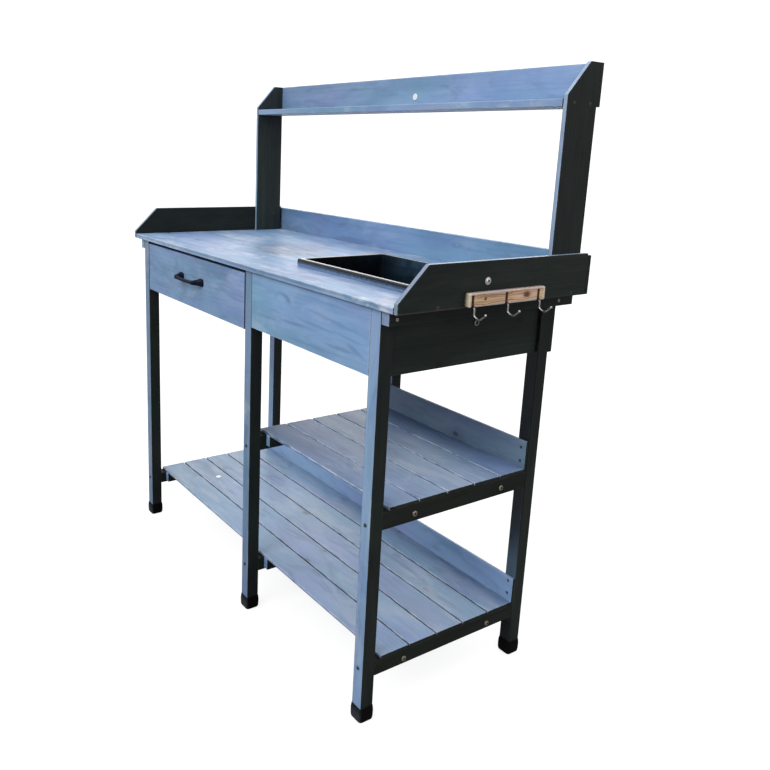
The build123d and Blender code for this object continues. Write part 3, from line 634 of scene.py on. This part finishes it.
def group(node, grain, thick, boxes, *, body="bench", bevel=1.2, mats=PAINTED, slot="blue_wood", tint=(1, 1, 1)):
    """Several small boards of one node in one mesh."""
    total = bmesh.new()
    parts = []
    for i, (x0, x1, y0, y1, z0, z1) in enumerate(boxes):
        SEED[0] += 1
        bm = prism([(x0, y0), (x1, y0), (x1, y1), (x0, y1)], "Z", z0, z1)
        shape_board(bm, grain, bevel, SEED[0])
        if len(mats) > 1:
            shade_sides(bm)
        me = bpy.data.meshes.new("tmp")
        bm.to_mesh(me)
        bm.free()
        parts.append((me, M(x0, y0, z0), M(x1, y1, z1), SEED[0]))
        total.from_mesh(me)
    ob = mesh_object(node + "_body", total, mats, body, [node], slot)
    loc, hs, gco = [], [], []
    g, t = AXIS[grain], AXIS[thick]
    order = [g, 3 - g - t, t]
    for me, a, b, seed in parts:
        rng = random.Random(100 + seed)
        co = np.array([v.co for v in me.vertices])
        mid, half = (np.array(a) + np.array(b)) / 2, (np.array(b) - np.array(a)) / 2
        l = (co - mid)[:, order]
        loc.append(l)
        hs.append(np.tile(half[order], (len(co), 1)))
        gco.append(l + np.array((rng.uniform(2, 40), rng.uniform(1, 20), rng.uniform(1, 20))))
        bpy.data.meshes.remove(me)
    give(ob.data, "loc", "FLOAT_VECTOR", np.concatenate(loc))
    give(ob.data, "hs", "FLOAT_VECTOR", np.concatenate(hs))
    give(ob.data, "gco", "FLOAT_VECTOR", np.concatenate(gco))
    finish_attributes(ob.data, (1, 1, 1), tint, 0.5, 1.0)
    w = ob.modifiers.new("normals", "WEIGHTED_NORMAL")
    w.keep_sharp = True
    return ob


def round_rect(cx, cy, hx, hy, r, n=7):
    r = min(r, hx - 0.01, hy - 0.01)
    pts = []
    for k, (sx, sy) in enumerate(((1, -1), (1, 1), (-1, 1), (-1, -1))):
        a0 = -90 + 90 * k
        for i in range(n + 1):
            a = math.radians(a0 + 90 * i / n)
            pts.append((cx + sx * (hx - r) + r * math.cos(a), cy + sy * (hy - r) + r * math.sin(a)))
    return pts


def loft(bm, rings, close_start=True, close_end=True):
    """Quads between rings of equal length; ends closed with an n-gon."""
    made = [[bm.verts.new(p) for p in ring] for ring in rings]
    for a, b in zip(made, made[1:]):
        for i in range(len(a)):
            j = (i + 1) % len(a)
            bm.faces.new((a[i], a[j], b[j], b[i]))
    if close_start:
        bm.faces.new(made[0][::-1])
    if close_end:
        bm.faces.new(made[-1])
    return made


def tube(bm, path, radii, segs=14, up=Vector((0, 1, 0))):
    rings = []
    for i, p in enumerate(path):
        a = path[max(i - 1, 0)]
        b = path[min(i + 1, len(path) - 1)]
        t = (b - a).normalized()
        u = up - t * up.dot(t)
        u.normalize()
        w = t.cross(u)
        r = radii[i]
        rings.append([p + (u * math.cos(q) + w * math.sin(q)) * r
                      for q in (2 * math.pi * k / segs for k in range(segs))])
    loft(bm, rings)


def filleted(points, radii, n=9):
    out = [points[0]]
    for a, b, c, r in zip(points, points[1:], points[2:], radii):
        d0, d1 = (a - b).normalized(), (c - b).normalized()
        ang = d0.angle(d1)
        t = min(r / math.tan(ang / 2), (a - b).length * 0.49, (c - b).length * 0.49)
        r = t * math.tan(ang / 2)
        centre = b + (d0 + d1).normalized() * (r / math.sin(ang / 2))
        p, q = b + d0 * t - centre, b + d1 * t - centre
        full = p.angle(q)
        for i in range(n + 1):
            s = i / n
            out.append(centre + (p * math.sin((1 - s) * full) + q * math.sin(s * full)) / math.sin(full))
    out.append(points[-1])
    return out


def ramp(x, *stops):
    """Piecewise linear value at x."""
    return float(np.interp(x, [a for a, _ in stops], [b for _, b in stops]))


# ------------------------------------------------------------------ legs and feet
# the rear right leg's near-black tone is painted shade
LEG_TONE = {("front", "middle"): (0.72, 0.68, 0.68), ("front", "left"): (0.75, 0.68, 0.65),
            ("rear", "right"): (0.095, 0.090, 0.078), ("front", "right"): (0.97, 0.92, 0.88)}


def rear_leg_front_shade(x, y, z):
    """Painted shade on the rear right leg's front face: near black high up and below the low rail, lifting to navy just
    above the low panel.
    """
    if y > 424.9:
        return 1.0
    return ramp(z, (0, 0.1), (120, 0.1), (135, 3.5), (205, 3.5), (235, 2.5), (260, 1.8), (285, 1.1), (305, 0.6),
                (330, 0.25), (365, 0.08), (900, 0.08))


for row in ("front", "rear"):
    for side in ("left", "middle", "right"):
        tone = LEG_TONE.get((row, side), (1.0, 0.97, 0.94))
        dark = (row, side) == ("rear", "right")
        board(f"leg_{row}_{side}", "Z", "Y", bevel=1.3, tint=tone, dry=0.05 if dark else 0.5, worn=0.15 if dark else 1.0,
              mats=(BLUE, CHAR), shade=rear_leg_front_shade if dark else None)

bm = bmesh.new()
profile = [(6.0, 0.02, 3.0), (12.2, 0.0, 5.0), (14.0, 0.2, 5.6), (15.4, 0.9, 6.0), (16.4, 2.0, 6.2), (17.1, 3.7, 6.3),
           (17.5, 6.4, 6.3), (17.72, 10.5, 6.1), (17.78, 17.5, 5.8), (17.6, 23.0, 5.4), (17.1, 28.0, 5.0), (16.6, 31.2, 4.5),
           (16.2, 32.6, 4.1), (15.7, 32.95, 3.7), (15.25, 32.6, 3.3), (15.08, 30.5, 3.0), (15.06, 8.0, 3.0)]
for x in (15, 613.5, 1077):
    for y in (15, 439):
        loft(bm, [[M(px, py, z + OZ) for px, py in round_rect(x, y, h, h, r)] for h, z, r in profile])
bmesh.ops.recalc_face_normals(bm, faces=bm.faces)
bm.normal_update()
caps = mesh_object("foot_caps_body", bm, [CAPS], "bench", ["foot_caps"], "black_plastic")
# painted highlight on the front faces of the front caps, stronger towards the floor
give(caps.data, "painted_sheen", "FLOAT", [max(-v.normal.y, 0.0) ** 2 * ramp(v.co.z * 1000, (0, 1.0), (18, 0.7), (30, 0.25))
                                   * (1.0 if v.co.y < 0 else 0.05)
                                   for v in caps.data.vertices])


# ------------------------------------------------------------------ worktop
def arc(cx, cy, r, a0, a1, n=5):
    return [(cx + r * math.cos(math.radians(a0 + (a1 - a0) * i / n)),
             cy + r * math.sin(math.radians(a0 + (a1 - a0) * i / n))) for i in range(n + 1)]


X0, X1, Y0, Y1, SEAM = -42.0, 1134.0, -9.0, 482.0, 226.0
CX0, CX1, CY0, CY1, CR = 661.0, 1039.0, 106.0, 346.0, 8.0
front = ([(X0, Y0), (X1, Y0), (X1, SEAM), (CX1, SEAM)]
         + arc(CX1 - CR, CY0 + CR, CR, 0, -90) + arc(CX0 + CR, CY0 + CR, CR, -90, -180)
         + [(CX0, SEAM), (X0, SEAM)])
rear = ([(X0, SEAM), (CX0, SEAM)] + arc(CX0 + CR, CY1 - CR, CR, 180, 90)
        + arc(CX1 - CR, CY1 - CR, CR, 90, 0) + [(CX1, SEAM), (X1, SEAM), (X1, Y1), (X0, Y1)])
seam_y = (SEAM - OY) / 1000
on_seam = lambda e: all(abs(v.co.y - seam_y) < 1e-5 for v in e.verts)


def groove(bm):
    """A fine joint line half way up the front edge."""
    for z in (848.1, 849.0, 849.9):
        bmesh.ops.bisect_plane(bm, geom=bm.verts[:] + bm.edges[:] + bm.faces[:], plane_co=M(0, 0, z),
                               plane_no=(0, 0, 1))
    edge = (Y0 - OY) / 1000
    for v in bm.verts:
        if abs(v.co.z - M(0, 0, 849).z) < 1e-5 and abs(v.co.y - edge) < 0.0006:
            v.co.y += 0.0011
    bm.normal_update()


top_look = dict(tint=(0.98, 0.94, 0.92), dry=1.1, shade=lambda x, y, z: ramp(x, (-40, 1.12), (180, 1.08), (330, 0.97), (640, 0.93), (860, 1.0))
                + ramp(x, (150, 0), (330, 0.16)) * ramp(y, (330, 0), (420, 1)), off=(7.3, 4.1, 2.2), origin=(0, 0, 0.852), keep=on_seam, amp=0.00012, mats=(BLUE_TOP, CHAR))
board("worktop_front_board", "X", "Z", outline=front, axis="Z", bevel=1.7, carve=groove, **top_look)
board("worktop_rear_board", "X", "Z", outline=rear, axis="Z", bevel=1.7, **top_look)
board("worktop_cleat_left", "Y", "X")
board("worktop_cleat_right", "Y", "X", edge_tint=(1.0, 0.86, 0.80))

# ------------------------------------------------------------------ aprons, divider and runners
board("apron_left", "Y", "X")
board("apron_right", "Y", "X", face_tint=(1.22, 1.26, 1.24))
board("apron_back", "X", "Y", dry=0.3)
board("apron_front", "X", "Y", dry=0.3, bevel=0.8, tint=(0.97, 1.03, 1.02), mats=(BLUE_APRON, CHAR), limit=2.0,
      shade=lambda x, y, z: ramp(z, (714, 0.93), (843, 1.04)))
board("drawer_divider", "Y", "X")
for side in ("left", "right"):
    board(f"drawer_runner_{side}", "Y", "Z", mats=(INNER,), slot="inner_wood", bevel=0.8)

# ------------------------------------------------------------------ boards above the worktop
side_outline = [(-9, 843), (482, 843), (482, 927.3), (57, 927.3), (-9, 862.6)]
board("side_board_left", "Y", "X", outline=side_outline, axis="X", bevel=1.5, edge_tint=(1.12, 0.88, 0.76))
board("side_board_right", "Y", "X", outline=side_outline, axis="X", bevel=1.5, edge_tint=(1.08, 0.82, 0.68),
      mats=(BLUE, CHAR_RUB), shade=lambda x, y, z: ramp(z, (843, 1.30), (880, 1.10), (927, 1.05)) if x > 1145 else 1.0)
board("splash_board", "X", "Y", dry=0.2, tint=(0.84, 0.86, 0.88), mats=(BLUE_SPLASH, CHAR),
      shade=lambda x, y, z: ramp(x, (60, 0.80), (420, 0.96), (700, 0.98), (900, 1.04)))
post_outline = [(386, 855), (472, 855), (472, 1293), (444, 1293), (386, 1229)]
board("shelf_post_left", "Z", "X", outline=post_outline, axis="X", bevel=1.4, edge_tint=(1.0, 0.95, 0.88),
      face_tint=(1.85, 1.82, 1.95))
board("shelf_post_right", "Z", "X", outline=post_outline, axis="X", bevel=1.4, edge_tint=(1.18, 0.99, 0.86))
board("upper_shelf", "X", "Z", dry=0.8, worn=0.5, bevel=1.4, tint=(1.07, 1.0, 0.97))
board("upper_back_board", "X", "Y", dry=0.2, tint=(0.99, 0.92, 0.88), mats=(BLUE_CLEAR, CHAR),
      shade=lambda x, y, z: ramp(x, (50, 0.86), (280, 0.88), (560, 1.0), (800, 1.08), (1050, 1.20)))

# ------------------------------------------------------------------ lower and middle shelves
for level in ("low", "mid"):
    for i in range(1, 6):
        # the sides that face a gap are darkened as painted shade, deep on the low shelf, hardly at all on the middle
        # one
        gap_shade = lambda n, k=0.42 if level == "low" else 0.95, first=i == 1: k if (n.y if first else abs(n.y)) > 0.6 else 1.0
        tone = (0.95, 0.84, 0.82) if level == "low" else (0.77, 0.73, 0.78)
        if level == "low":
            # painted shade: the low shelf darkens towards the back panel at its right end
            def shade(x, y, z):
                return ramp(x, (0, 1.04), (560, 1.08), (700, 1.04), (1000, 1.0)) * (
                    1 - ramp(x, (800, 0), (1050, 0.22)) * ramp(y, (320, 0), (405, 1)))
        else:
            def shade(x, y, z):
                return ramp(x, (640, 0.70), (760, 0.80), (860, 0.88), (1000, 1.04))
        board(f"{level}_slat_{i}", "X", "Z", dry=0.30, worn=1.3 if level == "low" else 2.1, bevel=1.3, tint=tone, dim=gap_shade,
              shade=shade, mats=(BLUE_SLAT, CHAR))
    # painted shade: the back panels' top faces are darkened
    board(f"{level}_back_panel", "X", "Y", dry=0.2, worn=0.4, dim=lambda n: 0.72 if n.z > 0.6 else 1.0, 
          tint=(1.19, 1.03, 1.05) if level == "low" else (0.84, 0.70, 0.64))
# painted shade: the rails' tops, seen between legs and slats, take the near-black side coat
for node in ("low_rail_left", "low_rail_middle", "low_rail_right", "mid_rail_middle", "mid_rail_right"):
    board(node, "Y", "X", shade_top=True, face_tint=(0.78, 0.76, 0.64))


def solid_boxes(node):
    """Box of every separate solid in a node, in bench millimetres."""
    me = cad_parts[node].data
    bm = bmesh.new()
    bm.from_mesh(me)
    bmesh.ops.remove_doubles(bm, verts=bm.verts, dist=1e-6)
    left, out = set(bm.verts), []
    while left:
        stack, seen = [next(iter(left))], set()
        while stack:
            v = stack.pop()
            if v in seen:
                continue
            seen.add(v)
            stack.extend(e.other_vert(v) for e in v.link_edges)
        left -= seen
        co = np.array([v.co for v in seen])
        a, b = co.min(0) * 1000, co.max(0) * 1000
        out.append((a[0] + OX, b[0] + OX, a[1] + OY, b[1] + OY, a[2] + OZ, b[2] + OZ))
    bm.free()
    return sorted(out)


group("low_battens", "Y", "Z", solid_boxes("low_battens"))
group("mid_battens", "Y", "Z", solid_boxes("mid_battens"))

# ------------------------------------------------------------------ drawer
# painted shade: its ends take the near-black side coat lifted to navy, blue paint in the shade of the gaps
board("drawer_front", "X", "Y", body="drawer", dry=0.35, bevel=1.5, tint=(0.95, 0.91, 0.95), mats=(BLUE_DRAWER, CHAR),
      worn=0.5, face_tint=(1.3, 2.2, 4.2))
for node, grain, thick in (("drawer_back", "X", "Y"), ("drawer_bottom", "X", "Z")):
    board(node, grain, thick, body="drawer", mats=(INNER,), slot="inner_wood", bevel=0.8)
for side, xs in (("left", (32, 44)), ("right", (584.5, 596.5))):
    node = f"drawer_side_{side}"
    lo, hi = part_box(node)
    x0, x1 = lo.x * 1000 + OX, hi.x * 1000 + OX
    z0, z1 = lo.z * 1000 + OZ, hi.z * 1000 + OZ
    d = 6.5
    g0, g1 = 759.5, 772.5
    if side == "left":
        out = [(x0, z0), (x1, z0), (x1, z1), (x0, z1), (x0, g1), (x0 + d, g1), (x0 + d, g0), (x0, g0)]
    else:
        out = [(x0, z0), (x1, z0), (x1, g0), (x1 - d, g0), (x1 - d, g1), (x1, g1), (x1, z1), (x0, z1)]
    board(node, "Y", "X", body="drawer", outline=out, axis="Y", mats=(INNER,), slot="inner_wood", bevel=0.7)

# bow handle: two chunky feet run into a thinner bowed bar, blended into one casting
bm = bmesh.new()
for cx in (256.0, 372.0):
    s = 1 if cx < 314 else -1
    rings = []
    for y, hx, hz, lean in ((0.0, 11.9, 9.9, 0), (-3.0, 11.9, 9.9, 0), (-5.5, 10.8, 9.3, 0.3), (-9.0, 8.4, 7.8, 1.6),
                            (-13.0, 7.0, 6.9, 3.6), (-17.5, 6.3, 6.3, 5.8), (-21.5, 5.5, 5.6, 7.6), (-24.5, 4.4, 4.6, 8.8),
                            (-26.2, 3.0, 3.0, 9.6), (-26.9, 1.5, 1.4, 10.0)):
        rings.append([M(px, y, pz) for px, pz in round_rect(cx + s * lean, 776.0, hx, hz, min(hx, hz) * 0.72, 6)])
    loft(bm, rings)
bar = []
for i in range(33):
    t = i / 32 * 2 - 1
    bar.append(M(314 + t * 49, -20.2 - 2.0 * (1 - t * t), 775.4 - 0.8 * (1 - t * t)))
tube(bm, bar, [0.0043 + 0.0016 * abs(i / 16 - 1) ** 3 for i in range(33)], 16, Vector((0, 0, 1)))
bmesh.ops.recalc_face_normals(bm, faces=bm.faces)
handle = mesh_object("handle_casting", bm, [IRON], "drawer", ["drawer_handle"], "dark_metal")
re = handle.modifiers.new("blend", "REMESH")
re.mode, re.voxel_size, re.use_smooth_shade = "VOXEL", 0.0007, True
sm = handle.modifiers.new("soften", "SMOOTH")
sm.factor, sm.iterations = 0.5, 9
dg = bpy.context.evaluated_depsgraph_get()
cast = bpy.data.meshes.new_from_object(handle.evaluated_get(dg))
handle.modifiers.clear()
handle.data = cast
for v in cast.vertices:
    v.co.y = min(v.co.y, M(0, 0, 0).y)
for p in cast.polygons:
    p.use_smooth = True

# ------------------------------------------------------------------ sink
SX, SY = 850.0, 226.0


def sink_ring(inset, z, r, sag=0.0):
    return [M(px, py, z) for px, py in round_rect(SX, SY, 195.0 - inset, 126.0 - inset, r, 9)]


wall = []
for z in (868.0, 850.0, 830.0, 800.0, 775.0, 760.0, 752.0):
    wall.append((14.0 + 13.0 * (871.0 - z) / 134.0, z, 6.0 + 10.0 * (871.0 - z) / 134.0))
outer = [(w[0] - 2.5, w[1], w[2] + 2.0) for w in wall]
rings = [(110.0, 734.4, 10.0), (60.0, 734.4, 40.0), (36.0, 734.5, 22.0), (30.0, 735.6, 20.0), (26.6, 738.4, 18.5),
         (25.0, 743.0, 18.0)]
rings += [(a, b, c) for a, b, c in outer[::-1]]
rings += [(9.0, 868.6, 5.0), (4.0, 868.4, 4.0), (2.6, 867.0, 3.5), (2.5, 855.6, 3.5),
          (2.1, 854.95, 3.7), (0.5, 854.95, 4.8), (0.05, 855.5, 5.0), (0.03, 858.5, 5.0), (0.02, 861.5, 5.0),
          (0.01, 864.0, 5.0), (0.0, 866.4, 5.0),
          (0.2, 867.9, 5.0), (0.75, 869.2, 5.0), (1.6, 870.15, 5.0), (2.7, 870.75, 5.1), (4.0, 871.0, 5.3), (7.5, 870.95, 5.4),
          (11.0, 870.8, 5.6), (12.6, 870.5, 5.8), (13.6, 869.7, 6.0)]
rings += wall
rings += [(25.8, 746.0, 16.0), (27.2, 741.8, 16.4), (29.6, 738.8, 17.2), (33.5, 737.3, 19.0), (42.0, 736.95, 24.0),
          (70.0, 736.9, 30.0), (110.0, 736.9, 12.0)]
bm = bmesh.new()
loft(bm, [sink_ring(*r) for r in rings])
bmesh.ops.recalc_face_normals(bm, faces=bm.faces)
mouth = M(0, 0, 869.75).z
for f in bm.faces:
    c = f.calc_center_median()
    deep = min(195.0 - abs(c.x * 1000 + OX - SX), 126.0 - abs(c.y * 1000 + OY - SY)) > 10.5
    f.material_index = 1 if deep and c.z < mouth else 0
sink = mesh_object("sink_moulding", bm, [SINK, BASIN], "sink", ["sink_basin"], "sink_plastic")
# painted sheen: reflection of the worktop on the rim's skirt, and a blue reflection high on the basin's rear wall
painted_sheen = []
for v in sink.data.vertices:
    x, y, z = v.co.x * 1000 + OX, v.co.y * 1000 + OY, v.co.z * 1000 + OZ
    inset = min(195.0 - abs(x - SX), 126.0 - abs(y - SY))
    if inset < 1.0:
        painted_sheen.append(min(max((869.8 - z) / 13.0, 0.0), 1.0))
    else:
        rear_wall = inset > 12.0 and y > SY + 98.0
        painted_sheen.append(ramp(z, (745, 0.06), (800, 0.18), (840, 0.44), (868, 1.0)) * ramp(x, (672, 0.06), (730, 0.45), (800, 1.0))
                     if rear_wall else 0.0)
give(sink.data, "painted_sheen", "FLOAT", painted_sheen)

# ------------------------------------------------------------------ hook rail and hooks
lo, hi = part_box("hook_rail")
bm = prism(round_rect(245.5, 859.0, 100.5, 13.0, 3.2, 5), "X", 1146, 1159)
front_x = M(1158.9, 0, 0).x
bmesh.ops.bevel(bm, geom=[e for e in bm.edges if all(v.co.x > front_x for v in e.verts)],
                offset=0.0022, offset_type="OFFSET", segments=4, profile=0.5, affect="EDGES", clamp_overlap=True)
for i in range(1, 5):
    bmesh.ops.bisect_plane(bm, geom=bm.verts[:] + bm.edges[:] + bm.faces[:],
                           plane_co=M(0, 145 + 40.2 * i, 0), plane_no=(0, 1, 0))
rail = mesh_object("hook_rail_body", bm, [RAIL], "bench", ["hook_rail"], "bare_wood")
cut = bmesh.new()
for y in KERFS:
    for x0, z0, z1 in ((1154.0, 843.0, 868.0), (1147.0, 857.0, 868.0)):
        b = prism([(x0, y - 2.3), (1164, y - 2.3), (1164, y + 2.3), (x0, y + 2.3)], "Z", z0, z1)
        me = bpy.data.meshes.new("tmp")
        b.to_mesh(me)
        b.free()
        cut.from_mesh(me)
        bpy.data.meshes.remove(me)
me = bpy.data.meshes.new("kerfs")
cut.to_mesh(me)
cut.free()
kerfs = bpy.data.objects.new("kerfs", me)
bpy.context.scene.collection.objects.link(kerfs)
bo = rail.modifiers.new("kerfs", "BOOLEAN")
bo.operation, bo.solver, bo.object, bo.use_self = "DIFFERENCE", "EXACT", kerfs, True
bpy.context.view_layer.update()
dg = bpy.context.evaluated_depsgraph_get()
cutrail = bpy.data.meshes.new_from_object(rail.evaluated_get(dg))
rail.modifiers.clear()
rail.data = cutrail
bpy.data.objects.remove(kerfs)
for p in cutrail.polygons:
    p.use_smooth = True
grain_attributes(cutrail, "Y", "X", lo, hi, (3.3, 9.1, 5.2))
finish_attributes(cutrail, (1, 1, 1), (1, 1, 1), 0.6, 1.0)
w = rail.modifiers.new("normals", "WEIGHTED_NORMAL")
w.keep_sharp = True

bm = bmesh.new()
for y in KERFS:
    pts = [M(x, y, z) for x, z in ((1147.6, 864), (1154.8, 864), (1156.6, 854.5), (1164.0, 845.0), (1164.0, 831.5),
                                   (1177.0, 825.5), (1192, 838))]
    path = filleted(pts, (0.0036, 0.008, 0.008, 0.005, 0.010))
    end = path.pop()
    t = (end - path[-1]).normalized()
    path.append(end - t * 0.0030)
    radii = [0.0018] * len(path)
    for k in range(13):
        a = math.radians(132 - 132 * k / 12)
        path.append(end + t * 0.0025 * math.cos(a))
        radii.append(max(0.0025 * math.sin(a), 0.00002))
    tube(bm, path, radii, 16)
bmesh.ops.recalc_face_normals(bm, faces=bm.faces)
mesh_object("hook_wires", bm, [WIRE], "bench", ["hooks"], "steel")

# ------------------------------------------------------------------ bolts with socket heads
def bolt(bm, verts, profile, inner):
    """Turned head with a six-sided socket, on the axis and at the head end of one drawn bolt."""
    lo, hi = verts.min(0), verts.max(0)
    mid = (lo + hi) / 2
    far = np.hypot(verts[:, 1] - mid[1], verts[:, 2] - mid[2])
    way = 1 if far[verts[:, 0] > hi[0] - 0.0016].max() > far[verts[:, 0] < lo[0] + 0.0016].max() else -1
    tip = hi[0] if way > 0 else lo[0]
    rings = []
    for r, d, six in profile:
        ring = []
        for k in range(36):
            a = 2 * math.pi * k / 36
            rr = r
            if six:
                rr = r * math.cos(math.pi / 6) / math.cos((a % (math.pi / 3)) - math.pi / 6)
            ring.append(Vector((tip - way * d / 1000, mid[1] + rr / 1000 * math.cos(a), mid[2] + rr / 1000 * math.sin(a))))
        rings.append(ring)
    made = loft(bm, rings)
    dark = {v for ring in made[inner:] for v in ring}
    for v in dark:
        for f in v.link_faces:
            if all(w in dark for w in f.verts):
                f.material_index = 1


def solid_verts(node):
    """Vertices of every separate solid in a node."""
    bm = bmesh.new()
    bm.from_mesh(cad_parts[node].data)
    bmesh.ops.remove_doubles(bm, verts=bm.verts, dist=1e-6)
    left, out = set(bm.verts), []
    while left:
        stack, seen = [next(iter(left))], set()
        while stack:
            v = stack.pop()
            if v in seen:
                continue
            seen.add(v)
            stack.extend(e.other_vert(v) for e in v.link_edges)
        left -= seen
        out.append(np.array([tuple(v.co) for v in seen]))
    bm.free()
    return sorted(out, key=lambda c: tuple(c.mean(0).round(5)))


BUTTON = [(2.9, 9.0, 0), (2.9, 2.75, 0), (5.7, 2.75, 0), (5.95, 2.5, 0), (6.0, 1.9, 0), (5.75, 1.25, 0), (5.1, 0.65, 0),
          (4.2, 0.2, 0), (3.3, 0.02, 0), (2.75, 0.05, 1), (2.55, 0.3, 1), (2.5, 1.0, 1), (2.45, 1.9, 1), (1.2, 2.2, 1)]
FLANGED = [(2.9, 9.0, 0), (2.9, 2.95, 0), (6.9, 2.95, 0), (7.25, 2.7, 0), (7.28, 2.2, 0), (6.9, 1.85, 0), (5.6, 1.75, 0),
           (4.9, 1.6, 0), (4.7, 1.1, 0), (4.55, 0.45, 0), (4.1, 0.08, 0), (3.2, 0.02, 0), (2.5, 0.08, 1), (2.3, 0.4, 1),
           (2.2, 1.4, 1), (1.0, 1.7, 1)]
CUPPED = [(2.9, 9.0, 0), (2.9, 2.95, 0), (6.2, 2.95, 0), (6.55, 2.6, 0), (6.5, 1.6, 0), (6.0, 0.7, 0), (5.2, 0.15, 0),
          (4.5, 0.1, 0), (4.0, 0.5, 0), (3.8, 1.4, 0), (3.5, 2.0, 0), (2.6, 1.9, 0), (1.9, 1.8, 1), (1.7, 2.2, 1), (0.8, 2.3, 1)]
bm = bmesh.new()
for verts in solid_verts("rail_bolts"):
    bolt(bm, verts, BUTTON, 9)
bmesh.ops.recalc_face_normals(bm, faces=bm.faces)
mesh_object("rail_bolt_heads", bm, [BOLTS, SOCKET], "bench", ["rail_bolts"], "steel")
bm = bmesh.new()
for verts in solid_verts("board_bolts"):
    bolt(bm, verts, *((FLANGED, 12) if verts[:, 2].mean() > 0.86 else (CUPPED, 8)))
bmesh.ops.recalc_face_normals(bm, faces=bm.faces)
mesh_object("board_bolt_heads", bm, [ZINC, SOCKET], "bench", ["board_bolts"], "steel")

# ------------------------------------------------------------------ fasteners and caps kept as drawn
for node, mat in (("leg_bolts", DARKS), ("wood_screws", STEEL),
                  ("handle_screws", DARKS), ("drawer_screws", STEEL), ("cover_caps", WHITE)):
    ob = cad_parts[node]
    if not ob.material_slots:
        ob.data.materials.append(mat)
    for ms in ob.material_slots:
        ms.material = mat

# ------------------------------------------------------------------ floor, light and camera
bpy.ops.mesh.primitive_plane_add(size=24, location=(0, 0, -0.0002))
floor = bpy.context.object
floor.name = "floor"
s = Shader("white_floor")
s.set(Base_Color=(0.26, 0.26, 0.26), Roughness=0.95, Specular_IOR_Level=0.0)
glow = s.new("ShaderNodeEmission")
glow.inputs["Color"].default_value = (1, 1, 1, 1)
s.feed(glow.inputs["Strength"], s.mul(s.new("ShaderNodeLightPath").outputs["Is Camera Ray"], 0.84))
both = s.new("ShaderNodeAddShader")
s.tree.links.new(s.bsdf.outputs[0], both.inputs[0])
s.tree.links.new(glow.outputs[0], both.inputs[1])
s.tree.links.new(both.outputs[0], s.out.inputs[0])
floor.data.materials.append(s.mat)

world = bpy.data.worlds.new("open_sky")
bpy.context.scene.world = world
world.use_nodes = True
wt = world.node_tree
wt.nodes.clear()
wo = wt.nodes.new("ShaderNodeOutputWorld")
wm = wt.nodes.new("ShaderNodeMixShader")
wl = wt.nodes.new("ShaderNodeLightPath")
wa = wt.nodes.new("ShaderNodeBackground")
wb = wt.nodes.new("ShaderNodeBackground")
wc = wt.nodes.new("ShaderNodeTexCoord")
ws = wt.nodes.new("ShaderNodeSeparateXYZ")
wr = wt.nodes.new("ShaderNodeMapRange")
wr.interpolation_type = "SMOOTHSTEP"
for k, v in (("From Min", 0.0), ("From Max", 0.75), ("To Min", 0.55), ("To Max", 1.25)):
    wr.inputs[k].default_value = v
wt.links.new(wc.outputs["Generated"], ws.inputs[0])
wt.links.new(ws.outputs[2], wr.inputs["Value"])
wt.links.new(wr.outputs[0], wa.inputs[1])
wa.inputs[0].default_value = (1.0, 1.0, 1.0, 1)
wb.inputs[0].default_value = (1, 1, 1, 1)
wb.inputs[1].default_value = 1.2
wt.links.new(wl.outputs["Is Camera Ray"], wm.inputs[0])
wt.links.new(wa.outputs[0], wm.inputs[1])
wt.links.new(wb.outputs[0], wm.inputs[2])
wt.links.new(wm.outputs[0], wo.inputs[0])


def softbox(name, at, to, size, power, colour=(1, 1, 1)):
    d = bpy.data.lights.new(name, "AREA")
    d.shape, d.size, d.size_y = "RECTANGLE", size[0], size[1]
    d.energy, d.color = power, colour
    o = bpy.data.objects.new(name, d)
    o.location = at
    o.rotation_euler = (Vector(to) - Vector(at)).to_track_quat("-Z", "Y").to_euler()
    bpy.context.scene.collection.objects.link(o)
    o.visible_camera = False
    return o


softbox("key", (1.0, -3.8, 3.5), (0, 0, 0.7), (2.6, 2.0), 95)
softbox("back", (-3.4, 2.9, 1.7), (0, 0, 0.8), (3.0, 2.2), 46)

cam_data = bpy.data.cameras.new("camera")
cam = bpy.data.objects.new("camera", cam_data)
bpy.context.scene.collection.objects.link(cam)
bpy.context.scene.camera = cam
az, el, ro = math.radians(55.78), math.radians(13.15), math.radians(1.92)
fwd = Vector((-math.sin(az) * math.cos(el), math.cos(az) * math.cos(el), -math.sin(el)))
right = Vector((math.cos(az), math.sin(az), 0))
up = right.cross(fwd)
r2 = right * math.cos(ro) + up * math.sin(ro)
u2 = up * math.cos(ro) - right * math.sin(ro)
rot = Matrix((r2, u2, -fwd)).transposed()
cam.matrix_world = Matrix.Translation((1.57578, -1.08916, 1.12144)) @ rot.to_4x4()
cam_data.sensor_width = 36.0
cam_data.lens = 36.79
cam_data.shift_x = 0.0905
cam_data.shift_y = -0.0710
cam_data.clip_start = 0.01

scene = bpy.context.scene
scene.view_settings.view_transform = "Standard"
scene.view_settings.look = "None"
